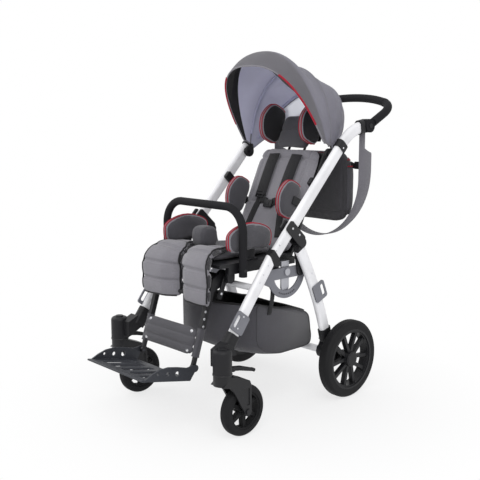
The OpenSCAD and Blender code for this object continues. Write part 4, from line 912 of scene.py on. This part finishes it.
def ladder(grid):
    bars = [block("ladder_bar", grid, (-19, -3, z - 2.2), (19, 3, z + 2.2), black_plastic, 0.001)
            for z in (-11, 0, 11)]
    return bars + [block("ladder_side", grid, (x - 2.2, -3, -13), (x + 2.2, 3, 13), black_plastic, 0.001)
                   for x in (-18, 18)]


chest = [(-50 + 100 * k / 24, 196 + 10 * abs(k - 12) / 12) for k in range(25)]
pieces = belt(-1) + belt(1) + [strip_on_back("chest_web", chest, [26] * 25, 2.4, webbing, 0.0075)[0]]
for side in (-1, 1):
    spot = back_skin.find_nearest(on_back @ Vector((side * 57, -20, 226)))[0]
    grid = back_frame_of(on_back.inverted() @ spot + Vector((0, -9, 0)), *upright)
    pieces += ladder(grid)
clasp_spot = on_back.inverted() @ back_skin.find_nearest(on_back @ Vector((0, -20, 196)))[0]
clasp = back_frame_of(clasp_spot + Vector((0, -9, 0)), *upright)
pieces += [block("clasp", clasp, (-21, -5, -15), (21, 5, 15), black_plastic, 0.003),
           block("clasp_button", clasp, (-8, -7, -8), (8, -4, 8), black_plastic, 0.002)]
harness = join_as("harness_webbing", *pieces)
rides("back", "webbing", harness)
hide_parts("harness")
print("harness joined from", len(pieces), "pieces")

# %% [markdown]
# ## Hood
# The hood is cloth stretched over bows that swing about two side pivots. Seen from the side it is a fan, so a point is
# given by the bow's angle from the rear and by how far round the arch it lies. The reach of the cloth changes from bow
# to bow; a smooth curve through those reaches makes one continuous sheet instead of flat panels. The arch is pointed
# at the rear and broad at the brim, so its two powers change with the angle as well. A cover and a lining lie a few
# millimetres apart.

# %% Hood: the fan
hood_pin, hood_reach = (-31.6, 898.0), 345
rear_half, brim_half, arch_edge, arch_cols = 205, 210.3, 88.5, 72
brim_rows, facing_first, facing_last = 24, 85.2, 123.8
rear_bows = ([34, 38, 46, 54, 61, 69, 78, 87], [0.822, 0.87, 0.919, 0.925, 0.897, 0.877, 0.9, 0.919])
brim_bows = ([84, 88.2, 97, 107, 115, 124], [0.943, 0.95, 0.98, 1.12, 1.149, 1.104])


def smooth_reach(bows, angle):
    turns, shares = bows
    k = min(max(0, int(np.searchsorted(turns, angle) - 1)), len(turns) - 2)
    slope = [(shares[min(i + 1, len(turns) - 1)] - shares[max(i - 1, 0)]) /
             (turns[min(i + 1, len(turns) - 1)] - turns[max(i - 1, 0)]) for i in (k, k + 1)]
    h = turns[k + 1] - turns[k]
    t = (angle - turns[k]) / h
    return ((2 * t ** 3 - 3 * t ** 2 + 1) * shares[k] + (t ** 3 - 2 * t ** 2 + t) * h * slope[0] +
            (3 * t ** 2 - 2 * t ** 3) * shares[k + 1] + (t ** 3 - t ** 2) * h * slope[1])


def hood_spot(bows, half, angle, round_arch, inset=0.0):
    s, c = math.sin(math.radians(round_arch)), max(0, math.cos(math.radians(round_arch)))
    rise, spread = (np.interp(angle, (34, 66, 87, 124), powers) for powers in
                    ((1.3, 0.83, 0.89, 0.67), (0.96, 0.97, 1.09, 0.77)))
    reach = 18 + (smooth_reach(bows, angle) * hood_reach - inset - 18) * c ** rise
    a = math.radians(angle)
    return place((half - inset) * math.copysign(abs(s) ** spread, s), hood_pin[0] + reach * math.cos(a),
                 hood_pin[1] + reach * math.sin(a))


def fan(name, bows, half, first, last, inset, *finishes, rows=36):
    turns = [first + (last - first) * i / rows for i in range(rows + 1)]
    arch = [arch_edge * (2 * j / arch_cols - 1) for j in range(arch_cols + 1)]
    points = [hood_spot(bows, half, a, t, inset) for a in turns for t in arch]
    piece = new_piece(name, points, sheet_faces(rows + 1, arch_cols + 1), *finishes)
    middle = place(0, *hood_pin)
    outward = sum((f.center - middle).dot(f.normal) * f.area for f in piece.data.polygons)
    if outward * (1 if inset < 3 else -1) < 0:
        piece.data.flip_normals()
    return piece


def area_of(piece):
    return sum(face.area for face in piece.data.polygons)


hood_cover = fan("hood_cover", rear_bows, rear_half, 34, 86.9, 0.0, hood_cloth)
window = bmesh.new()
window.from_mesh(hood_cover.data)
window.faces.ensure_lookup_table()
pane = [f for i, f in enumerate(window.faces) if 1 < i // arch_cols < 11 and 17 < i % arch_cols < 54]
bmesh.ops.delete(window, geom=pane, context="FACES")
window.to_mesh(hood_cover.data)
window.free()
hood_lining = fan("hood_lining", rear_bows, rear_half, 34.2, 86.5, 5.0, lining, pale_panel)
brim_cover = fan("hood_brim_cover", brim_bows, brim_half, 84.2, 124, 0.0, hood_cloth, rows=brim_rows)
brim_lining = fan("hood_brim_lining", brim_bows, brim_half, facing_first, facing_last, 3.5, lining, black_cloth,
                  rows=brim_rows)
print("hood sheets, square metres:", [(p.name, round(area_of(p), 3)) for p in
                                      (hood_cover, hood_lining, brim_cover, brim_lining)])

# %% [markdown]
# The lining has a pale panel at the rear, which shows as a window in the cover, closed off by a soft ridge with a dark
# seam. A black facing inside the brim hangs a little lower than its edge.
# The edges get a hem, a tape-covered cord, and the brim's sides carry a thicker red piping.

# %% Hood: panel, hems, piping and bow sleeve
for index, face in enumerate(hood_lining.data.polygons):
    row, column = divmod(index, arch_cols)
    face.material_index = 1 if row < 12 and 11 < column < 60 else 0
for index, face in enumerate(brim_lining.data.polygons):
    face.material_index = 1 if index // arch_cols > 15 else 0
for row, share in ((22, 0.5), (23, 1.0)):
    angle = facing_first + (facing_last - facing_first) * row / brim_rows
    for column in range(arch_cols + 1):
        turn = arch_edge * (2 * column / arch_cols - 1)
        dip = 3.5 + 24 * share * max(0, math.sin(math.pi * min(1, max(0, (abs(turn) - 6) / 56)) ** 1.4))
        spot = hood_spot(brim_bows, brim_half, angle, turn, dip)
        brim_lining.data.vertices[row * (arch_cols + 1) + column].co = spot


rear, brim = (rear_bows, rear_half), (brim_bows, brim_half)


def arch_line(part, angle, low, high, inset=0.0, steps=60):
    return [hood_spot(*part, angle, low + (high - low) * k / steps, inset) for k in range(steps + 1)]


def side_line(part, edge, first, last, inset=0.0, steps=30):
    return [hood_spot(*part, first + (last - first) * k / steps, edge, inset) for k in range(steps + 1)]


def hems(name, part, arches, first, last, inset, finish, thick):
    lines = [arch_line(part, angle, -88, 88, inset) for angle in arches]
    lines += [side_line(part, edge, first, last, inset) for edge in (88.4, -88.4)]
    return cord_piece(name, lines, finish, thick)


rear_hems = hems("hood_hems", rear, [34], 34, 86.9, 2, side_cloth, 0.0026)
bow_sleeve = cord_piece("hood_bow_sleeve", [arch_line(rear, a, -82, 82, 5) for a in (53.4, 86.7)], lining, 0.005)
panel_seams = cord_piece("hood_panel_seams", [arch_line(rear, 51.6, -60, 60, 6.6)] +
                         [side_line(rear, t, 35, 51.6, 6.6) for t in (-59, 59)], side_cloth, 0.0011)
brim_hems = hems("hood_brim_hems", brim, [123.9, 84.4], 84.4, 123.9, 2.5, grey_melange, 0.0028)
brim_piping = cord_piece("hood_brim_piping", [arch_line(brim, 124.2, s * 34, s * 80, 1) for s in (-1, 1)], red_piping,
                         0.0036)
cover_skin = skin_of(hood_cover)
seam_lines = [arch_line(rear, a, -80, 80) for a in (52, 54.8, 85.0)]
hood_stitches = stitch_piece("hood_stitches", cover_skin, seam_lines, edge_tape, pitch=0.008)
print("hood trim: hems, sleeves, piping and", len(hood_stitches.data.vertices) // 6, "stitches")

# %% [markdown]
# Round plastic eyes clamp the cloth at the pivots. The rear part rides on the frame, the brim on its own body.

# %% Hood: eyes and riding
def eye(name, x):
    grid = frame_at(place(x, *hood_pin), (0, 1, 0), (0, 0, 1), (1, 0, 0))
    return turned(name, grid, [(6.2, -3.4), (20, -3.4), (22, -2), (22, 0.4), (19, 1), (6.2, 1)], black_plastic)


rear_eyes = join_into(eye("hood_eyes", 204.5), eye("hood_eye", -204.5))
brim_eyes = join_into(eye("hood_brim_eyes", brim_half), eye("hood_brim_eye", -brim_half))
rides("frame", "grey_cloth", hood_cover, hood_lining, rear_hems, bow_sleeve, panel_seams, rear_eyes, hood_stitches)
rides("hood_brim", "grey_cloth", brim_cover, brim_lining, brim_hems, brim_piping, brim_eyes)
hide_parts("hood_rear")
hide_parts("hood_front")
print("hood rides on frame and hood_brim")

# %% [markdown]
# ## Calf strap
# A quilted panel spans the legrest posts behind the calves, wraps round them in two sleeves and closes with snaps. It
# leans with the legrest, so its grid follows the slope of the posts.

# %% Calf strap
slope = math.radians(251.9)
down, ahead = (0, math.cos(slope), math.sin(slope)), (0, math.sin(slope), -math.cos(slope))


def on_legrest(x, run, out):
    return place(x, -530 + run * down[1] + out * ahead[1], 500 + run * down[2] + out * ahead[2])


calf_grid = frame_at(on_legrest(0, 166, 11.4), (1, 0, 0), down, ahead)
calf_panel = cushion("calf_panel", calf_grid, 284, 104, 13, 4, dark_melange, voxel=0.0045, most=0.0025, square=0.35,
                     pull=0.01)


def calf_seams(points):
    return np.min([np.abs(local_of(calf_grid, points)[:, 1] - seam) for seam in (36, 68)], axis=0) / 1000


sew(calf_panel, calf_seams, deep=0.004, wide=0.006)
sleeves = []
for side in (-1, 1):
    rings = []
    for k in range(13):
        run = 170 + 96 * k / 12
        fat = 0.8 if k in (0, 12) else 0
        rings.append([on_legrest(side * 138 + (10.4 + fat) * c, run, 0.4 + (11.2 + fat) * s)
                      for c, s in soft_ring(24, 0.5, 0)])
    sleeves.append(loft("calf_sleeve", rings, dark_melange, capped=False))
snaps = [turned("calf_snap", frame_at(on_legrest(x, run, 20), (1, 0, 0), down, ahead),
                [(0.5, -4), (6.5, -4), (6.5, -1), (5, 0.3), (2.6, 0.5), (2, -0.3), (0.4, -0.3)], bright_rivet)
         for x in (-112, 112) for run in (186, 250)]
join_as("calf_strap_cover", calf_panel, *sleeves, *snaps)
rides("legrest", "dark_cloth", calf_panel)
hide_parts("calf_strap")
print("calf strap", len(calf_panel.data.vertices), "points")

# %% [markdown]
# ## Rear bag
# The bag hangs behind the backrest from the handle. A bag could be five flat plates, but a full one bulges: it is made
# like a cushion with a belly to the rear, fuller than its CAD solid, then gets seams, a flap laid over its top and two
# end pockets with a red rim.

# %% Bag body
bag_cloth = cloth_finish("bag_cloth", (60, 59, 63), (92, 91, 97), wrinkle=0.4)
low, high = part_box("bag")
bag_z, bag_tall = high.z * 1000 - 255, 280
bag_y, bag_deep = (low.y - axle_y) * 1000, (high.y - low.y) * 1000
bag_grid = frame_at(place(0, bag_y + (bag_deep - 14) / 2, bag_z), (1, 0, 0), (0, 0, 1), (0, 1, 0))
bag_body = cushion("bag_body", bag_grid, 352, bag_tall, bag_deep - 14, 14, bag_cloth, voxel=0.006, most=0.004,
                   square=0.42, pull=0.02)


def bag_seams(points):
    spot = local_of(bag_grid, points)
    return np.min([np.abs(np.abs(spot[:, 0]) - 150), np.abs(spot[:, 1] - 0.16 * bag_tall)], axis=0) / 1000


sew(bag_body, bag_seams, deep=0.003, wide=0.005, puff=0.001)
bag_skin = skin_of(bag_body)
print("bag", round(bag_tall), "mm tall,", len(bag_body.data.vertices), "points")

# %% Bag flap, pockets and trim
def patch(name, spots, finish, lift, thick=0.0025):
    points = [p for row in spots for p in lay_on(bag_skin, row, lift)]
    piece = new_piece(name, points, sheet_faces(len(spots), len(spots[0])), finish)
    piece.modifiers.new("cloth_depth", "SOLIDIFY").thickness = thick
    settle(piece)
    return piece


def bag_spot(x, up, out):
    return bag_grid @ Vector((x, up * bag_tall, out))


def round_end(up, first):
    return [bag_spot(138 + 60 * math.cos(a), up, 6 + 60 * math.sin(a)) for a in np.radians(np.linspace(first, 76, 18))]


flap_rows = [[bag_spot(146 * (2 * k / 30 - 1), up, out) for k in range(31)] for up, out in
             [(0.99, -22), (1.03, -8), (1.04, 6), (1.02, 22), (0.97, 36), (0.9, 44), (0.82, 50), (0.74, 55), (0.66, 58),
              (0.58, 60), (0.52, 60)]]
flap = patch("bag_flap", flap_rows, grey_melange, 0.002)
pocket_rows = [round_end(up, -30) for up in np.linspace(0.1, 0.8, 14)]
pocket = patch("bag_end_pocket", pocket_rows, dark_melange, 0.004)
rims = [lay_on(bag_skin, flap_rows[-1], 0.004), lay_on(bag_skin, pocket_rows[-1], 0.006),
        lay_on(bag_skin, round_end(0.97, -20), 0.002)]
for rim in rims[1:3]:
    rims.append([Vector((-p.x, p.y, p.z)) for p in rim])
bag_rims = cord_piece("bag_rims", rims, red_piping, 0.0022)
zip_line = [bag_spot(138 * (2 * k / 40 - 1), 0.99, -24) for k in range(41)]
top_piping = cord_piece("bag_top_piping", [lay_on(bag_skin, zip_line, 0.001)], red_piping, 0.002)
right_pocket = twin(pocket, "bag_right_pocket")
tabs, up = [], bag_z + bag_tall - 55
for side in (-1, 1):
    spots = [place(side * (146 + 72 * k / 10), bag_y + bag_deep / 2 + 8, up + 3 * math.sin(k)) for k in range(11)]
    tabs.append(strip("bag_tab", spots, [Vector((0, 0, 1))] * 11, [Vector((0, 1, 0))] * 11, [22] * 11, 2.6, webbing))
    clip = frame_at(place(side * 196, bag_y + bag_deep / 2 + 8, up), *upright)
    tabs += [block("bag_clip", clip, (-16, -4.5, -14), (16, 4.5, 14), black_plastic, 0.002),
             block("bag_clip_tongue", clip, (-22, -3, -9), (22, 3, 9), black_plastic, 0.002)]
bag_tabs = join_as("bag_tabs", *tabs)
rides("frame", "dark_cloth", bag_body, flap, pocket, right_pocket, bag_rims, top_piping, bag_tabs)
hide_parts("bag")
print("bag dressed; flap", round(area_of(flap) / 2, 4), "and pocket", round(area_of(pocket) / 2, 4), "square metres")

# %% [markdown]
# ## Bag strap
# A long strap runs down from both handle hubs and sags under the bag in a loop. It is a flat ribbon on a line of two
# straights and half an ellipse, and it widens to a broad shoulder part beside the bag.

# %% Bag strap
low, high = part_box("bag_strap")
strap_x, strap_top = high.x * 1000 - 1.5, high.z * 1000
strap_y = ((low.y + high.y) / 2 - axle_y) * 1000
strap_drop, strap_sag = 213, 234
line = [(strap_x, strap_top - strap_drop * k / 24) for k in range(25)]
line += [(strap_x * math.cos(a), strap_top - strap_drop - strap_sag * math.sin(a)) for a in
         (math.pi * k / 60 for k in range(1, 60))]
line += [(-strap_x, strap_top - strap_drop + strap_drop * k / 24) for k in range(25)]
run = run_of(np.array(line))
widths = [34 + 42 * min(1, max(0, (r - 100) / 16)) * (1 - 0.6 * min(1, max(0, (r - 190) / 220))) for r in
          np.minimum(run, run[-1] - run)]
spots = [place(x, strap_y + 0.5 * (w - 34), z) for (x, z), w in zip(line, widths)]
rearward = Vector((0, 1, 0))
bag_strap = strip("bag_strap_web", spots, [rearward] * len(spots),
                  [t.cross(rearward).normalized() for t in directions(spots)], widths, 3, strap_melange)
rides("frame", "webbing", bag_strap)
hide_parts("bag_strap")
print("bag strap", round(run[-1]), "mm long, area", round(area_of(bag_strap) / 2, 4))

# %% [markdown]
# ## Basket
# The shopping basket is a cloth tub hung under the seat, open at the top. Its side view is a rounded outline that is
# swept across the buggy, drawn in at both sides, with a floor that sags. The faces of the open top are taken out and
# the rest gets the thickness of cloth and a bound rim.

# %% Basket tub
tub = [(0, 0.95), (0.21, 0.87), (0.46, 0.8), (0.69, 0.745), (0.955, 0.6), (1, 0.06), (0.93, 0), (0.5, 0), (0.26, 0.06),
       (0.1, 0.17), (0, 0.28)]
tub_front, tub_low, tub_half = -471, 192, 193
tub = [(tub_front + 386 * a, tub_low + 222 * b) for a, b in tub]


def rounded(corners, radius, steps=5):
    line, tags = [], []
    for k, corner in enumerate(corners):
        here = Vector(corner)
        ends = [Vector(corners[k - 1]), Vector(corners[(k + 1) % len(corners)])]
        first, last = [here + (e - here).normalized() * min(radius, (e - here).length / 2.2) for e in ends]
        for s in range(steps + 1):
            t = s / steps
            line.append(first * (1 - t) ** 2 + here * 2 * t * (1 - t) + last * t ** 2)
            tags.append(k + t)
    return line, tags


def drawn_back(y):
    return 79 * max(0, 1 - (y - tub_front) / 220)


tub_line, tub_tags = rounded(tub, 30)
middle = Vector((-280, 300))
rings = []
for k in range(25):
    x = tub_half * math.sin(math.pi * (k / 24 - 0.5))
    edge = 1 - 0.055 * (abs(x) / tub_half) ** 10
    ring = []
    for spot in tub_line:
        flat = middle + (spot - middle) * edge
        sag = 5 * (1 - (x / tub_half) ** 2) * max(0, 1 - (flat.y - tub_low) / 60)
        fold = 2.2 * math.sin(0.045 * x + 0.06 * flat.y) * math.sin(0.021 * flat.x + 1) * min(1, (414 - flat.y) / 40)
        ring.append(place(x, flat.x + drawn_back(flat.x) * (abs(x) / tub_half) ** 2.5 + fold, flat.y - sag))
    rings.append(ring)
basket = loft("basket_tub", rings, dark_melange, black_cloth)
open_top = bmesh.new()
open_top.from_mesh(basket.data)
count = len(tub_line)
open_top.verts.ensure_lookup_table()
gone = []
for face in open_top.faces:
    ids = [v.index % count for v in face.verts]
    rows_here = [v.index // count for v in face.verts]
    if len(ids) == 4 and all(0.5 <= tub_tags[i] <= 4.0 for i in ids) and min(rows_here) >= 2 and max(rows_here) <= 22:
        gone.append(face)
bmesh.ops.delete(open_top, geom=gone, context="FACES")
rim_edges = [e for e in open_top.edges if e.is_boundary]
links = {}
for e in rim_edges:
    for a, b in (e.verts, reversed(e.verts)):
        links.setdefault(a, []).append(b)
walk = [rim_edges[0].verts[0]]
while len(walk) < len(rim_edges):
    walk.append([v for v in links[walk[-1]] if v not in walk[-2:]][0])
rim = [v.co.copy() for v in walk]
open_top.to_mesh(basket.data)
open_top.free()
print("basket opened:", len(gone), "faces out, rim of", len(rim), "points")

# %% Basket thickness, rim and hanging straps
cloth_depth = basket.modifiers.new("cloth_depth", "SOLIDIFY")
cloth_depth.thickness, cloth_depth.material_offset, cloth_depth.material_offset_rim = 0.003, 1, 1
settle(basket)
rim_binding = cord_piece("basket_rim", [rim], black_cloth, 0.0042, closed=True)
side_seams = [[place(s * 195.5, p.x + drawn_back(p.x), p.y) for p in
               (middle + (q - middle) * 0.93 for q in tub_line)] for s in (-1, 1)]
basket_skin = skin_of(basket)
seam_cords = cord_piece("basket_seams", [lay_on(basket_skin, line, 0.0005) for line in side_seams], side_cloth, 0.0016,
                        closed=True)
hangers = []
for side in (-1, 1):
    spots = [place(side * (tub_half + 17 * math.sin(math.pi / 2 * k / 12)), -321, 350 + 92 * k / 12)
             for k in range(13)]
    hangers.append(strip("basket_hanger", spots, [rearward] * 13, [Vector((side, 0, 0))] * 13, [20] * 13, 3, webbing))
hanger_straps = join_as("basket_hangers", *hangers)
rides("frame", "dark_cloth", basket, rim_binding, seam_cords, hanger_straps)
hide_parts("basket")
print("basket cloth", round(area_of(basket) / 2, 3), "square metres")

# %% [markdown]
# ## Rivets and the knee catch
# Blind rivets hold the brackets on the tubes, and a row of locking holes runs down each legrest post. A rivet head is a
# low dome. Its place is found by looking straight at the side of the part and taking the first point of the skin, so
# the head always sits on the metal, whatever the section of the tube. Each head rides with the part that it is in.

# %% Rivets and locking holes
def stud(name, node_name, side, y, z, radius, tall, finish):
    part = frame["nodes"][node_name]
    skin = BVHTree.FromPolygons([part.matrix_world @ v.co for v in part.data.vertices],
                                [p.vertices for p in part.data.polygons])
    spot, normal, _, _ = skin.ray_cast(place(side * 420, y, z), Vector((-side, 0, 0)))
    if normal.x * side < 0:
        normal = -normal
    along = normal.cross(Vector((0, 0, 1))).normalized()
    grid = frame_at(spot, along, normal.cross(along), normal)
    return turned(name, grid, [(radius, -0.8), (radius, 0.3 * tall), (0.8 * radius, 0.75 * tall), (0.3 * radius, tall)],
                  finish, 16)


rivet_rows = {
    "frame": [("SIDE_push_tube", -330, 603, 3.2), ("SIDE_push_tube", -346, 586, 3.2), ("leg_brackets", -270, 655, 4),
              ("leg_brackets", -236, 630, 4), ("tube_clamps", -8, 922, 3.5)],
    "front_frame": [("front_legs", -384, 541, 3.2), ("front_legs", -407, 513, 3.2), ("front_legs", -424, 488, 3.2),
                    ("front_tie_loops", -502, 386, 3), ("front_tie_loops", -529, 352, 3)],
    "rear_frame": [("rear_legs", -163, 484, 3.2)],
    "legrest": [("legrest_frame", -572, 395, 4.2), ("legrest_frame", -578, 371, 4.2),
                ("legrest_frame", -583, 346, 4.2)],
}
for body, rows in rivet_rows.items():
    heads = []
    for part, y, z, radius in rows:
        for side, word in ((1, "left"), (-1, "right")):
            heads.append(stud("rivet", part.replace("SIDE", word), side, y, z, radius, 1.6, bright_rivet))
            if body == "legrest":
                # Each locking hole is a black dome inside its rivet ring: painted shade for the dark inside of the
                # hole.
                heads.append(stud("hole", part, side, y, z, 2.6, 1.9, black_plastic))
    rides(body, "steel", join_as(body + "_rivets", *heads))
    print(body, len(heads), "heads")

# %% [markdown]
# At each knee sits the catch of the legrest: a ribbed knob on the pin, closed by a bright bolt, and a short lever that
# lies on the post. The knob is a lathe form whose radius rises and falls round the axis, which gives the finger ribs.

# %% Knee catch
def knee_catch(side):
    columns = ((0, 1, 0), (0, 0, 1)) if side > 0 else ((0, 0, 1), (0, 1, 0))
    grid = frame_at(place(side * 147, -476, 505), *columns, (side, 0, 0))
    rings = []
    for radius, height in ((15, -2), (17, 0), (17, 18), (15.5, 21), (8, 22)):
        rings.append([grid @ Vector((r * math.cos(a), r * math.sin(a), height)) for r, a in
                      ((radius - (1.4 if radius > 15 else 0) * (k % 4 > 1), 2 * math.pi * k / 56) for k in range(56))])
    knob = loft("knee_knob", rings, black_plastic)
    bolt = turned("knee_bolt", grid, [(6.5, 20), (6.5, 25), (5.2, 26.5), (2, 26.8)], bright_rivet, 24)
    down = Vector((0, -26, -66)).normalized()
    lever_grid = frame_at(place(side * 147, -493, 495), down, down.cross(Vector((side, 0, 0))), (side, 0, 0))
    lever = block("knee_lever", lever_grid, (-6, -10, 0.4), (70, 8, 9), black_plastic, 0.003)
    screw = turned("knee_screw", frame_at(lever_grid @ Vector((50, -1, 8.6)), *columns, (side, 0, 0)),
                   [(4.2, -0.5), (4.2, 1.2), (3, 1.8), (1, 1.9)], bright_rivet, 16)
    return [knob, bolt, lever, screw]


catches = join_as("knee_catches", *knee_catch(1), *knee_catch(-1))
rides("legrest", "black_plastic", catches)
print("knee catches made,", len(catches.data.vertices), "points")

# %% [markdown]
# The caster housings are moulded in two halves; a collar ring covers the line between the housing and the fork.

# %% Caster collars
collars = []
for side in (1, -1):
    grid = frame_at(place(side * 283, -622, 226.5), *upright)
    collars.append(turned("caster_collar", grid, [(30.6, -3), (32.2, -2.2), (32.2, 2.2), (30.6, 3)], black_paint, 40))
rides("front_frame", "black_plastic", join_as("caster_collars", *collars))
print("two caster collars")
